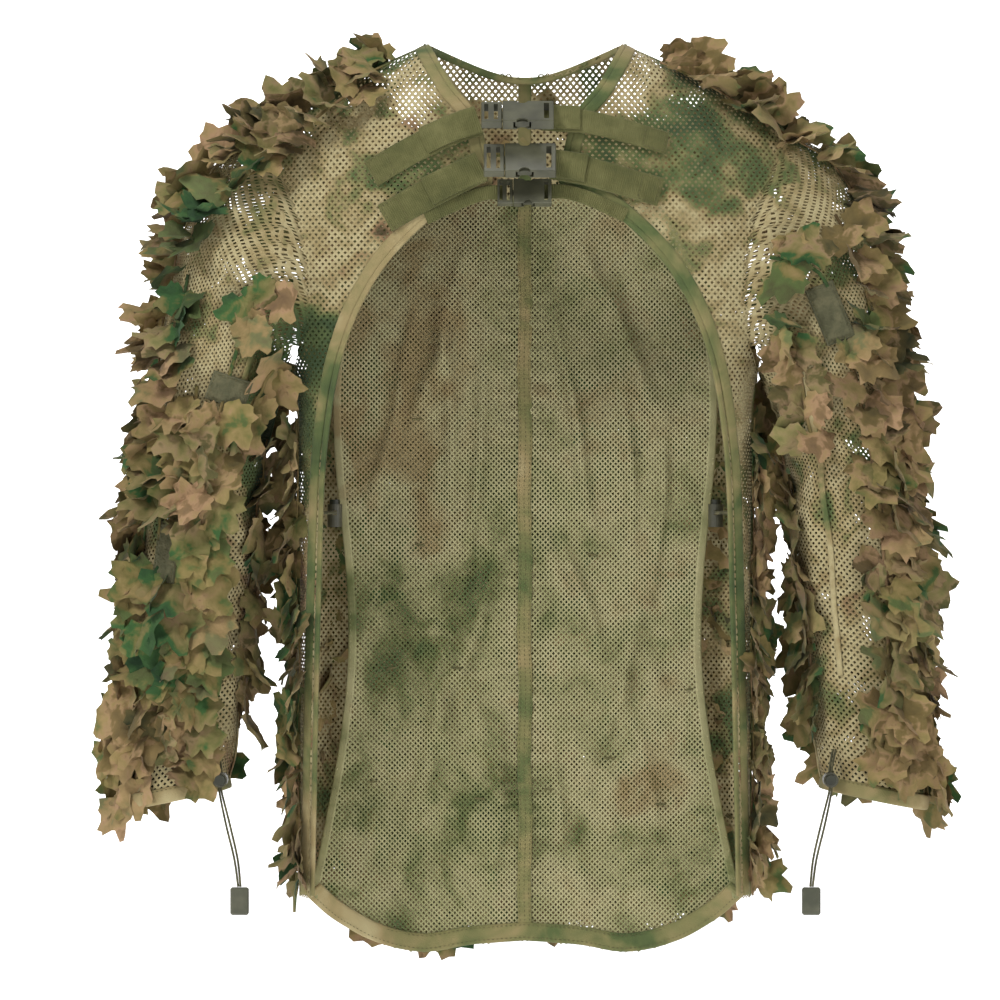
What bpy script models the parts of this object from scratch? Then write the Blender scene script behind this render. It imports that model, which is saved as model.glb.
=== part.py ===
"""Open-front ghillie jacket: coarse net shell, fine net lining, chest buckles, cord locks, leaf garlands.

Metres, +Z up. The origin is the middle of the back of the neckline, where the jacket hangs.
-Y is the front, and left and right are as seen from the front.
"""
import math

import bmesh
import bpy
from mathutils import Euler, Vector

# Body: half widths, depths and heights
BODY_LENGTH = 0.762  # back of the neck to the middle of the hem
BODY_HALF_WIDTH = 0.1965
SHOULDER_HALF_WIDTH = BODY_HALF_WIDTH + 0.0375
CHEST_HALF_WIDTH = BODY_HALF_WIDTH + 0.0515  # of the full chest, which shapes the panels at the armholes
FRONT_DEPTH = 0.085
BACK_DEPTH = 0.100
HEM_DEPTH_SHARE = 0.87
CORNER_POWER = 2.4  # 2 would be an ellipse
SHOULDER_ROUND = 0.13  # height over which the shoulder ridge rounds into front and back
UNDERARM_Z = -0.272
HEM_SIDE_Z = -BODY_LENGTH + 0.045
HEM_DIP = 0.0095  # how far the hem drops on each side of its middle

# Cloth, webbing and bindings
SHELL_WALL = 0.002
LINING_WALL = 0.0016
LINING_TOP_Z = -0.100
LINING_GAP = 0.025  # widest space between lining and shell
LINING_BOW = 0.035  # how far the lining's side edges come forward
WEBBING_WIDTH = 0.025
SMALL_WEBBING_WIDTH = 0.012
WEBBING_WALL = 0.0016
TAPE_WIDTH = 0.012
TAPE_WALL = 0.0012
BINDING_RADIUS = 0.0024
HEM_BAND_HEIGHT = 0.016
HEM_BAND_WALL = 0.008
CUFF_BAND_HEIGHT = 0.012
FRONT_ROWS = 26  # of the front panel, which its binding follows
SLEEVE_DEPTH = 0.066  # half depth of the sleeve at its top
CUFF_DEPTH = 0.045
GAP = 0.0004  # between pieces that touch
EDGE_GAP = 0.0010  # between a binding and the straight-sided facets of the edge it follows

# Leaf garlands
GARLAND_WALL = 0.014
GARLAND_STAND_OFF = 0.0135

# Side-release buckles
BUCKLE_LENGTH = 0.062
BUCKLE_WIDTH = 0.033
BUCKLE_THICKNESS = 0.0095
SMALL_BUCKLE_SCALE = 0.75
BUCKLE_WALL = 0.0039
PLUG_SHARE = 0.29  # of the buckle's length
PRONG_SQUEEZE_DEG = 7.0
BUCKLES = {  # x, how far its middle stands off the yoke, z, tilt in degrees, scale
    "upper_buckle": (-0.007, 0.0214, -0.042, 55, 1.0),
    "middle_buckle": (-0.005, 0.0196, -0.081, 40, 1.0),
    "small_buckle": (-0.001, 0.0079, -0.108, 30, SMALL_BUCKLE_SCALE),
}

# Cord locks and cords
LOCK_RADIUS = 0.0065
LOCK_LENGTH = 0.020
LOCK_WALL = 0.0016
PLUNGER_CLEARANCE = 0.0003
PLUNGER_PROUD = 0.004
PLUNGER_TRAVEL = 0.003
CORD_HOLE_FROM_MOUTH = 0.0075
CUFF_CORD_RADIUS = 0.0020
SIDE_CORD_RADIUS = 0.0015
SIDE_CORD_REACH = 0.0317  # how far behind the lining's line the side cord ends, by the back panel
CORD_HOLE_CLEARANCE = 0.0004
SPRING_WIRE_RADIUS = 0.00045
SPRING_TURNS = 3
SIDE_LOCK_AT = (BODY_HALF_WIDTH - 0.0305, -0.085, -0.385)
CUFF_LOCK_AT = (BODY_HALF_WIDTH + 0.0675, -0.118, -0.6135)
TAB_SIZE = (0.016, 0.006, 0.024)
TAB_TOP_Z = -0.7065

FINISHES = {  # colour, roughness
    "coarse_mesh": ((0.33, 0.28, 0.16), 0.9),
    "fine_mesh": ((0.27, 0.26, 0.14), 0.9),
    "binding": ((0.12, 0.12, 0.05), 0.85),
    "webbing": ((0.12, 0.13, 0.05), 0.85),
    "leaf_cloth": ((0.18, 0.15, 0.07), 0.9),
    "buckle_plastic": ((0.09, 0.09, 0.07), 0.45),
    "cord": ((0.06, 0.06, 0.04), 0.8),
    "spring_steel": ((0.6, 0.6, 0.6), 0.3),
    "patch": ((0.09, 0.09, 0.05), 0.95),
}

SIDES = {"left": -1, "right": 1}

for leftover in list(bpy.data.objects):
    bpy.data.objects.remove(leftover)
jacket = bpy.data.collections.new("ghillie_jacket")
cutters = bpy.data.collections.new("cutters")
for collection in (jacket, cutters):
    bpy.context.scene.collection.children.link(collection)


# Curves and the jacket's surfaces

def through(knots, at):
    """A smooth curve through knots of (position, value), read at one position."""
    if at <= knots[0][0]:
        return knots[0][1]
    for i in range(len(knots) - 1):
        (x0, y0), (x1, y1) = knots[i], knots[i + 1]
        if at <= x1:
            break
    else:
        return knots[-1][1]
    before = knots[max(i - 1, 0)]
    after = knots[min(i + 2, len(knots) - 1)]
    slope0 = (y1 - before[1]) / (x1 - before[0])
    slope1 = (after[1] - y0) / (after[0] - x0)
    span = x1 - x0
    t = (at - x0) / span
    return (
        (2 * t**3 - 3 * t**2 + 1) * y0
        + (t**3 - 2 * t**2 + t) * span * slope0
        + (3 * t**2 - 2 * t**3) * y1
        + (t**3 - t**2) * span * slope1
    )


def along(points, t):
    """The point at share t of a smooth curve through evenly counted points."""
    last = len(points) - 1
    return Vector(
        through([(i / last, point[axis]) for i, point in enumerate(points)], t)
        for axis in range(len(points[0]))
    )


SHOULDER_IN = BODY_HALF_WIDTH - 0.0685  # where the shoulder starts beyond the collar
RIDGE = [(0.0, 0.040), (0.086, 0.025), (SHOULDER_IN, 0.006), (BODY_HALF_WIDTH - 0.0015, -0.028)]
RIDGE += [(SHOULDER_HALF_WIDTH, -0.052), (BODY_HALF_WIDTH + 0.1035, -0.10)]
HALF_WIDTHS = [
    (-BODY_LENGTH, BODY_HALF_WIDTH - 0.0005),
    (-0.48, BODY_HALF_WIDTH),
    (-0.36, BODY_HALF_WIDTH + 0.0015),
    (UNDERARM_Z, BODY_HALF_WIDTH + 0.004),
    (-0.20, CHEST_HALF_WIDTH - 0.020),
    (-0.12, CHEST_HALF_WIDTH),
    (0.04, CHEST_HALF_WIDTH),
]
HEM = [(0.0, -BODY_LENGTH), (0.05, -BODY_LENGTH - 0.4 * HEM_DIP), (0.09, -BODY_LENGTH - HEM_DIP)]
HEM += [(BODY_HALF_WIDTH - 0.0665, -BODY_LENGTH), (BODY_HALF_WIDTH - 0.0315, -BODY_LENGTH + 0.021)]
HEM += [(BODY_HALF_WIDTH - 0.0065, HEM_SIDE_Z)]


def shoulder(x, z):
    """1 on the flat of the front or back, falling to 0 at the shoulder ridge."""
    below = (through(RIDGE, abs(x)) - z) / SHOULDER_ROUND
    return math.sqrt(max(0.0, 1 - (1 - min(1.0, max(0.0, below))) ** 2))


def turn(x, z):
    """1 at the middle of the body, falling to 0 at its side."""
    share = min(1.0, abs(x) / through(HALF_WIDTHS, z))
    return (1 - share**CORNER_POWER) ** (1 / CORNER_POWER)


def hem_taper(z):
    down = (-z / BODY_LENGTH - 0.6) / 0.4
    return 1 - (1 - HEM_DEPTH_SHARE) * min(1.0, max(0.0, down))


MIDDLE_Y = -BACK_DEPTH * shoulder(0, 0)  # puts the back of the neckline at Y = 0


def front_y(x, z):
    return MIDDLE_Y - GAP - SHELL_WALL / 2 - FRONT_DEPTH * shoulder(x, z) * turn(x, z) * hem_taper(z)


def front_normal(x, z, step=0.001):
    slope_x = (front_y(x + step, z) - front_y(x - step, z)) / (2 * step)
    slope_z = (front_y(x, z + step) - front_y(x, z - step)) / (2 * step)
    return Vector((slope_x, -1, slope_z)).normalized()


def back_y(x, z):
    return MIDDLE_Y + GAP + SHELL_WALL / 2 + BACK_DEPTH * shoulder(x, z) * turn(x, z) * hem_taper(z)


def lining_y(x, z):
    low = [(-BODY_LENGTH - 0.013, 0.12), (-BODY_LENGTH + 0.067, 0.5), (-0.67 * BODY_LENGTH, 1.0)]
    hang = through(low + [(-0.25, 0.8), (LINING_TOP_Z, 0.12)], z)
    ease = hang - 0.12
    curl = LINING_BOW * ease * (x / (BODY_HALF_WIDTH - 0.0265)) ** 2
    return back_y(x * (1 - 0.2 * ease), z) - LINING_GAP * hang - SHELL_WALL / 2 - curl


def down_side(share):
    """The height at a share of the way from the underarm to the hem."""
    return UNDERARM_Z + share * (HEM_SIDE_Z - UNDERARM_Z)


# Edges as (x, z), from the neck down. The first list of each pair is the inner edge.
W = BODY_HALF_WIDTH
FRONT_INNER = [(0.086, 0.025), (0.066, -0.012), (0.046, -0.038), (0.036, -0.068), (0.033, -0.103)]
FRONT_INNER += [(0.075, -0.122), (W - 0.0715, -0.172), (W - 0.0385, -0.240), (W - 0.0225, down_side(0.13))]
FRONT_INNER += [(W - 0.0175, down_side(0.40)), (W - 0.0145, down_side(0.67))]
FRONT_INNER += [(W - 0.0115, HEM_SIDE_Z + 0.002)]
FRONT_OUTER = [(SHOULDER_IN, 0.006), (W - 0.0015, -0.028), (SHOULDER_HALF_WIDTH, -0.052)]
FRONT_OUTER += [(W + 0.0155, -0.090), (W - 0.0015, -0.135), (W - 0.0065, -0.180), (W - 0.0045, -0.225), (W + 0.0075, UNDERARM_Z)]
FRONT_OUTER += [(W + 0.0075, down_side(share)) for share in (0.18, 0.40, 0.67, 1.0)]
BACK_INNER_Z = [0.0, -0.03, -0.075, -0.12, -0.165, -0.225, -0.285, down_side(0.25), down_side(0.52)]
BACK_INNER_Z += [down_side(0.79), -BODY_LENGTH]
BACK_OUTER = [(0.086, 0.025), (W - 0.0365, -0.010), (SHOULDER_HALF_WIDTH, -0.052), (W + 0.0155, -0.095)]
BACK_OUTER += [(W - 0.0035, -0.150), (W - 0.0065, -0.215), (W + 0.0075, UNDERARM_Z)]
BACK_OUTER += [(W + 0.0075, down_side(share)) for share in (0.20, 0.47, 0.72, 1.0)]
LINING_HALF_WIDTHS = [(0.0, W - 0.0765), (0.10, W - 0.0465), (0.22, W - 0.0325), (0.35, W - 0.0325)]
LINING_HALF_WIDTHS += [(0.50, W - 0.0420), (0.62, W - 0.0445), (0.74, W - 0.0375), (0.87, W - 0.0245)]
LINING_HALF_WIDTHS += [(1.0, W - 0.0105)]


def outer_edge(points, u):
    """The outer edge of a panel, kept on the side seam below the underarm."""
    x, z = along(points, u)
    return min(x, through(HALF_WIDTHS, z)), z


def front_place(u, v):
    x0, z0 = along(FRONT_INNER, u)
    x1, z1 = outer_edge(FRONT_OUTER, u)
    share = math.sin(v * math.pi / 2)
    x = x0 + (x1 - x0) * share
    z = z0 + (z1 - z0) * share
    return Vector((x, front_y(x, z), z))


def back_place(u, v):
    z0 = along([(z, 0) for z in BACK_INNER_Z], u)[0]
    x1, z1 = outer_edge(BACK_OUTER, u)
    share = math.sin(v * math.pi / 2)
    x = GAP + (x1 - GAP) * share
    z = z0 + (z1 - z0) * share**1.5
    z += u**6 * (through(HEM, x) - z)
    return Vector((x, back_y(x, z), z))


def lining_place(u, v):
    x = GAP + (through(LINING_HALF_WIDTHS, u) - GAP) * v
    top = LINING_TOP_Z - 0.010 * v
    z = top + (through(HEM, x) - top) * u
    return Vector((x, lining_y(x, z), z))


# The sleeve: each ring's outer point, inner point and half depth, as (x, z, x, z, half depth)
SLEEVE_RINGS = [
    (W + 0.0425, -0.054, W + 0.0135, UNDERARM_Z - 0.004, SLEEVE_DEPTH),
    (W + 0.0785, -0.085, W + 0.0195, -0.287, SLEEVE_DEPTH + 0.003),
    (W + 0.1035, -0.150, W + 0.0255, -0.307, SLEEVE_DEPTH + 0.003),
    (W + 0.1195, -0.240, W + 0.0315, -0.345, SLEEVE_DEPTH - 0.001),
    (W + 0.1315, -0.340, W + 0.0385, -0.400, 0.060),
    (W + 0.1415, -0.450, W + 0.0465, -0.470, 0.054),
    (W + 0.1495, -0.560, W + 0.0555, -0.560, 0.049),
    (W + 0.1555, -0.640, W + 0.0635, -0.620, CUFF_DEPTH),
]
ARMHOLE_BOW = 0.020  # how far the top ring bends in to follow the armhole


def ring_place(rings, u, angle, off):
    """A point on a run of rings, at an angle from the outer line towards the front, off it by a distance."""
    x0, z0, x1, z1, depth = along(rings, u)
    reach = Vector(((x0 - x1) / 2, 0, (z0 - z1) / 2))
    centre = Vector(((x0 + x1) / 2, MIDDLE_Y + 0.004, (z0 + z1) / 2))
    out = reach.normalized() * math.cos(angle) - Vector((0, 1, 0)) * math.sin(angle)
    return centre + reach * math.cos(angle) - Vector((0, depth, 0)) * math.sin(angle) + out * off


def sleeve_place(u, angle, off=0.0):
    bow = ARMHOLE_BOW * max(0.0, 1 - 6 * u) * math.sin(angle) ** 2
    return ring_place(SLEEVE_RINGS, u, angle, off) - Vector((bow, 0, 0))


# The leaf garland runs over the shoulder before it follows the sleeve
SHOULDER_RINGS = [(W - 0.0965, 0.020, W - 0.1115, -0.085, 0.066)]
SHOULDER_RINGS += [(W - 0.0315, -0.011, W - 0.0465, -0.115, 0.069)]
GARLAND_RINGS = SHOULDER_RINGS + [(x0, z0, x1, z1, max(d, 0.047)) for x0, z0, x1, z1, d in SLEEVE_RINGS]
GARLAND_FRONT_DEG, GARLAND_BACK_DEG = 38, -60


def sleeve_garland_place(u, v):
    angle = math.radians(GARLAND_BACK_DEG + (GARLAND_FRONT_DEG - GARLAND_BACK_DEG) * v)
    return ring_place(GARLAND_RINGS, u, angle, GARLAND_STAND_OFF)


def side_garland_place(u, v):
    z = -0.365 + (HEM_SIDE_Z + 0.012 + 0.365) * u
    angle = math.radians(-16 + 41 * v)
    depth = (BACK_DEPTH if angle > 0 else FRONT_DEPTH) * hem_taper(z)
    power = 2 / CORNER_POWER
    x = through(HALF_WIDTHS, z) * math.cos(angle) ** power
    y = MIDDLE_Y + math.copysign(depth * abs(math.sin(angle)) ** power, angle)
    out = Vector((math.cos(angle), math.sin(angle), 0))
    return Vector((x, y, z)) + out * GARLAND_STAND_OFF


def back_garland_place(u, v):
    x = (BODY_HALF_WIDTH - 0.0415) * (v * 2 - 1)
    z = -0.105 + (through(HEM, abs(x)) + 0.016 + 0.105) * u
    return Vector((x, back_y(x, z) + GARLAND_STAND_OFF, z))


# Making objects

def finish(obj, look):
    """Puts an object in the jacket's collection and gives it a material of its own."""
    colour, roughness = FINISHES[look]
    material = bpy.data.materials.new(obj.name + "_" + look)
    material.use_nodes = True
    shader = material.node_tree.nodes["Principled BSDF"]
    shader.inputs["Base Color"].default_value = (*colour, 1)
    shader.inputs["Roughness"].default_value = roughness
    shader.inputs["Metallic"].default_value = 1.0 if look == "spring_steel" else 0.0
    obj.data.materials.clear()
    obj.data.materials.append(material)
    jacket.objects.link(obj)
    return obj


def from_bmesh(name, shape):
    mesh = bpy.data.meshes.new(name)
    shape.to_mesh(mesh)
    shape.free()
    mesh.shade_smooth()
    mesh.set_sharp_from_angle(angle=math.radians(35))
    return bpy.data.objects.new(name, mesh)


def sheet(name, rows, columns, place, wall, look, side=1, closed=False):
    """Cloth as a grid laid by place(u, v) and given its thickness; side -1 mirrors it to the left."""
    grid = bmesh.new()
    bmesh.ops.create_grid(grid, x_segments=rows, y_segments=columns, size=0.5)
    for vert in grid.verts:
        vert.co = place(vert.co.x + 0.5, vert.co.y + 0.5)
        vert.co.x *= side
    if closed:
        bmesh.ops.remove_doubles(grid, verts=grid.verts, dist=0.00001)
    obj = from_bmesh(name, grid)
    solidify = obj.modifiers.new("wall", "SOLIDIFY")
    solidify.thickness = wall
    solidify.offset = 0
    return finish(obj, look)


def ribbon(name, points, width, wall, look, rows, across, side=1):
    """A flat strip along points; across gives its width's direction at its start and end."""
    def place(u, v):
        direction = Vector(across[0]).lerp(Vector(across[1]), u).normalized()
        return along(points, u) + direction * (v - 0.5) * width
    return sheet(name, rows, 1, place, wall, look, side)


def cord(name, points, radius, look, count, side=1):
    """A round cord or binding through points, with flat ends."""
    curve = bpy.data.curves.new(name, "CURVE")
    curve.dimensions = "3D"
    curve.bevel_depth = radius
    curve.bevel_resolution = 1
    curve.use_fill_caps = True
    spline = curve.splines.new("POLY")
    spline.points.add(count - 1)
    for i, point in enumerate(spline.points):
        x, y, z = along(points, i / (count - 1))
        point.co = (x * side, y, z, 1)
    return finish(bpy.data.objects.new(name, curve), look)


def box(size, centre, bevel=0.0):
    shape = bmesh.new()
    bmesh.ops.create_cube(shape, size=1)
    for vert in shape.verts:
        vert.co = Vector(vert.co[i] * size[i] + centre[i] for i in range(3))
    if bevel:
        bmesh.ops.bevel(shape, geom=shape.edges[:], offset=bevel, segments=1, affect="EDGES", profile=0.5)
    return shape


def cylinder(radius, low, high, segments=20):
    """A round solid along Z."""
    shape = bmesh.new()
    size = {"radius1": radius, "radius2": radius, "depth": high - low}
    bmesh.ops.create_cone(shape, cap_ends=True, segments=segments, **size)
    bmesh.ops.translate(shape, verts=shape.verts, vec=(0, 0, (low + high) / 2))
    return shape


def combine(obj, shape, operation="DIFFERENCE"):
    """Cuts or joins a shape to an object, in the object's own space."""
    cutter = from_bmesh(obj.name + "_cutter", shape)
    cutters.objects.link(cutter)
    cutter.parent = obj
    cutter.hide_render = True
    cutter.display_type = "WIRE"
    boolean = obj.modifiers.new(operation.lower(), "BOOLEAN")
    boolean.object = cutter
    boolean.operation = operation


def mount_on(empty, *objects):
    for obj in objects:
        obj.parent = empty


def frame_at(name, location, rotation):
    empty = bpy.data.objects.new(name, None)
    empty.location = location
    empty.rotation_euler = rotation
    jacket.objects.link(empty)
    return empty


# Buckles

def buckle(name, centre, tilt, scale):
    """A side-release buckle: X along the webbing, Z across it, its face towards -Y before the tilt."""
    length, width, thickness = (scale * d for d in (BUCKLE_LENGTH, BUCKLE_WIDTH, BUCKLE_THICKNESS))
    wall = BUCKLE_WALL * scale
    rim = 0.0008 * scale
    frame = frame_at(name + "_frame", centre, (-math.radians(tilt), 0, 0))
    joint_x = -length / 2 + length * PLUG_SHARE  # where the plug's shoulder meets the socket
    end = length / 2
    inner = width / 2 - wall
    slot = 0.0034 * scale
    prong_gap = 0.0007

    socket_length = end - joint_x - GAP / 2
    socket_x = joint_x + GAP / 2
    body = box((socket_length, thickness, width), (socket_x + socket_length / 2, 0, 0), rim)
    socket = from_bmesh(name + "_socket", body)
    depth = socket_length * 0.68
    hollow = thickness * 0.65
    pad_from = socket_x + socket_length * 0.25
    pad_to = socket_x + socket_length * 0.52
    window = ((pad_to - pad_from) + 0.0035 * scale, hollow, width * 1.4)
    middle = (pad_from + pad_to) / 2
    combine(socket, box((depth * 2, hollow, inner * 2), (socket_x, 0, 0)))
    combine(socket, box(window, (middle, 0, 0)))
    for way in (-1, 1):
        notch = cylinder(0.0052 * scale, -thickness, thickness, 16)
        bmesh.ops.rotate(notch, verts=notch.verts, matrix=Euler((math.pi / 2, 0, 0)).to_matrix())
        bmesh.ops.translate(notch, verts=notch.verts, vec=(middle, 0, way * (width / 2 + 0.0009 * scale)))
        combine(socket, notch)
    combine(socket, box((slot * 1.3, thickness * 2, inner * 2), (end - 0.0062 * scale, 0, 0)))
    mount_on(frame, finish(socket, "buckle_plastic"))

    plug_length = length * PLUG_SHARE - GAP / 2
    body = box((plug_length, thickness * 0.8, width), (-end + plug_length / 2, 0, 0), rim)
    plug = from_bmesh(name + "_plug", body)
    for share in (0.24, 0.70):
        combine(plug, box((slot, thickness * 2, inner * 2), (-end + plug_length * share, 0, 0)))
    tongue = depth * 0.9
    tongue_box = box((tongue + 0.002, hollow * 0.7, 0.0052 * scale), (joint_x + tongue / 2 - 0.001, 0, 0))
    combine(plug, tongue_box, "UNION")
    mount_on(frame, finish(plug, "buckle_plastic"))

    root_x = joint_x + GAP
    hinge_z = 0.0088 * scale
    pad_z = width / 2 - 0.0013 * scale
    arm_z = inner - prong_gap - 0.0008 * scale
    outline = [
        (root_x, 0.0072 * scale),
        (root_x, 0.0104 * scale),
        (pad_from - 0.0012 * scale, arm_z),
        (pad_from, pad_z),
        (pad_to, pad_z),
        (pad_to + 0.0007 * scale, arm_z),
        (pad_to + 0.0007 * scale, 0.0084 * scale),
        (pad_from + 0.002 * scale, 0.0072 * scale),
    ]
    for side, way in (("upper", 1), ("lower", -1)):
        arm = bpy.data.curves.new(f"{name}_{side}_prong", "CURVE")
        arm.dimensions = "2D"
        arm.fill_mode = "BOTH"
        arm.extrude = hollow * 0.36
        spline = arm.splines.new("POLY")
        spline.points.add(len(outline) - 1)
        for point, (x, z) in zip(spline.points, outline):
            point.co = (x - root_x, way * (z - hinge_z), 0, 1)
        spline.use_cyclic_u = True
        prong = bpy.data.objects.new(arm.name, arm)
        prong.location = (root_x, 0, way * hinge_z)
        prong.rotation_euler = (math.pi / 2, 0, 0)
        mount_on(frame, finish(prong, "buckle_plastic"))


# Cord locks

def cord_lock(name, centre, rotation, cord_radius):
    """A sprung cord lock: its plunger along +Z and its cord along Y, before it is turned."""
    frame = frame_at(name + "_frame", centre, rotation)
    top = LOCK_LENGTH / 2
    bore = LOCK_RADIUS - LOCK_WALL
    floor = -top + LOCK_WALL
    hole_low = top - CORD_HOLE_FROM_MOUTH - cord_radius - CORD_HOLE_CLEARANCE
    hole_high = top - CORD_HOLE_FROM_MOUTH + cord_radius + CORD_HOLE_CLEARANCE
    hole_width = 2 * (cord_radius + CORD_HOLE_CLEARANCE)
    plunger_low = hole_low - 0.0018

    barrel = from_bmesh(name + "_barrel", cylinder(LOCK_RADIUS, -top, top))
    combine(barrel, cylinder(bore, floor, top + 0.01))
    hole = ((hole_low + hole_high) / 2, hole_high - hole_low)
    combine(barrel, box((hole_width, LOCK_RADIUS * 4, hole[1]), (0, 0, hole[0])))

    plunger_radius = bore - PLUNGER_CLEARANCE
    plunger = from_bmesh(name + "_plunger", cylinder(plunger_radius, plunger_low, top + PLUNGER_PROUD))
    slot_high = hole_high + PLUNGER_TRAVEL
    slot = box((hole_width, LOCK_RADIUS * 4, slot_high - hole_low), (0, 0, (slot_high + hole_low) / 2))
    combine(plunger, slot)

    low = floor + SPRING_WIRE_RADIUS + GAP
    high = plunger_low - SPRING_WIRE_RADIUS - GAP
    coil = plunger_radius - 2 * SPRING_WIRE_RADIUS
    steps = SPRING_TURNS * 8
    turns = [
        (
            coil * math.cos(2 * math.pi * SPRING_TURNS * i / steps),
            coil * math.sin(2 * math.pi * SPRING_TURNS * i / steps),
            low + (high - low) * i / steps,
        )
        for i in range(steps + 1)
    ]
    spring = cord(name + "_spring", turns, SPRING_WIRE_RADIUS, "spring_steel", steps + 1)
    mount_on(frame, finish(barrel, "buckle_plastic"), finish(plunger, "buckle_plastic"), spring)


# The jacket's pieces

def cloth_panels(side, way):
    sheet(f"front_panel_{side}", FRONT_ROWS, 4, front_place, SHELL_WALL, "coarse_mesh", way)
    sheet(f"back_panel_{side}", 18, 7, back_place, SHELL_WALL, "coarse_mesh", way)
    sheet(f"lining_{side}", 16, 5, lining_place, LINING_WALL, "fine_mesh", way)

    def sleeve(u, v):
        return sleeve_place(u, v * 2 * math.pi)
    sheet(f"sleeve_{side}", 12, 14, sleeve, SHELL_WALL, "coarse_mesh", way, closed=True)

    def cuff(u, v):
        rim = sleeve_place(1, v * 2 * math.pi)
        return rim - Vector((0, 0, GAP + 0.0006 + CUFF_BAND_HEIGHT * u))
    sheet(f"cuff_band_{side}", 1, 14, cuff, SHELL_WALL, "binding", way, closed=True)


def edge_binding(side, way):
    """A round binding just off the front panel's free inner edge."""
    points = []
    for i in range(FRONT_ROWS + 1):
        u = i / FRONT_ROWS
        edge = front_place(u, 0)
        tangent = (front_place(min(1, u + 0.02), 0) - front_place(max(0, u - 0.02), 0)).normalized()
        outward = tangent.cross(front_normal(edge.x, edge.z)).normalized()
        points.append(edge + outward * (BINDING_RADIUS + EDGE_GAP))
    cord(f"front_binding_{side}", points, BINDING_RADIUS, "binding", FRONT_ROWS + 1, way)


def neck_and_hem():
    points = []
    for i in range(-10, 11):
        edge = back_place(0, abs(i) / 10)
        edge.x *= -1 if i < 0 else 1
        points.append(edge + Vector((0, 0, BINDING_RADIUS + GAP)))
    points = [p + Vector((0, 0, 0.0004)) for p in points[1:-1]]
    cord("collar_binding", points, BINDING_RADIUS, "binding", 25)

    def tape(u, v):
        z = LINING_TOP_Z + (HEM[0][1] - LINING_TOP_Z) * u
        y = lining_y(0, z) - (LINING_WALL + TAPE_WALL) / 2 - GAP
        return Vector((TAPE_WIDTH * (v - 0.5), y, z))
    sheet("centre_seam_tape", 18, 1, tape, TAPE_WALL, "binding")

    def hem(u, v):
        x = (u * 2 - 1) * LINING_HALF_WIDTHS[-1][1]
        z = through(HEM, abs(x))
        y = (lining_y(x, z) + back_y(x, z)) / 2
        return Vector((x, y, z - 3 * EDGE_GAP - HEM_BAND_HEIGHT * v))
    sheet("hem_band", 28, 1, hem, HEM_BAND_WALL, "binding")


def buckle_centre(name):
    x, stand_off, z = BUCKLES[name][:3]
    return Vector((x, front_y(0, z) - stand_off, z))


def buckle_end(name, way):
    """Where a buckle's webbing starts, and the direction across its width there."""
    tilt, scale = BUCKLES[name][3:]
    lean = math.radians(tilt)
    start = buckle_centre(name) + Vector((way * (BUCKLE_LENGTH / 2 * scale + 0.001), 0, 0))
    return start, Vector((0, math.sin(lean), math.cos(lean)))


def strap(name, buckle_name, way, route, width, stand_off):
    """Webbing from a buckle out over the yoke, along a route of (x, z)."""
    start, lean = buckle_end(buckle_name, way)
    points = [start]
    for x, z in route:
        points.append(Vector((way * x, front_y(x, z) - stand_off, z)))
    (x0, z0), (x1, z1) = route[-2:]
    flat = Vector((-way * (z1 - z0), 0, x1 - x0)).normalized()
    ribbon(name, points, width, WEBBING_WALL, "webbing", 10, (lean, flat))


STRAP_STAND_OFF = 0.0025 + 7.5 * WEBBING_WIDTH**2  # a wider strap bridges more of the yoke's curve
STRAPS = {  # buckle, side, route over the yoke as (x, z)
    "upper_strap_left": ("upper_buckle", -1, [(0.062, -0.054), (0.098, -0.071), (0.131, -0.090)]),
    "upper_strap_right": ("upper_buckle", 1, [(0.055, -0.047), (0.088, -0.055), (0.121, -0.0634)]),
    "lower_strap_left": ("middle_buckle", -1, [(0.058, -0.098), (0.088, -0.112), (0.119, -0.1285)]),
    "lower_strap_right": ("middle_buckle", 1, [(0.055, -0.090), (0.084, -0.098), (0.114, -0.1065)]),
    "small_strap_left": ("small_buckle", -1, [(0.047, -0.108), (0.066, -0.111), (0.088, -0.121)]),
    "small_strap_right": ("small_buckle", 1, [(0.047, -0.108), (0.066, -0.111), (0.088, -0.121)]),
}


def straps():
    for name, (buckle_name, way, route) in STRAPS.items():
        if buckle_name == "small_buckle":
            strap(name, buckle_name, way, route, SMALL_WEBBING_WIDTH, 0.0045)
        else:
            strap(name, buckle_name, way, route, WEBBING_WIDTH, STRAP_STAND_OFF)


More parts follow.
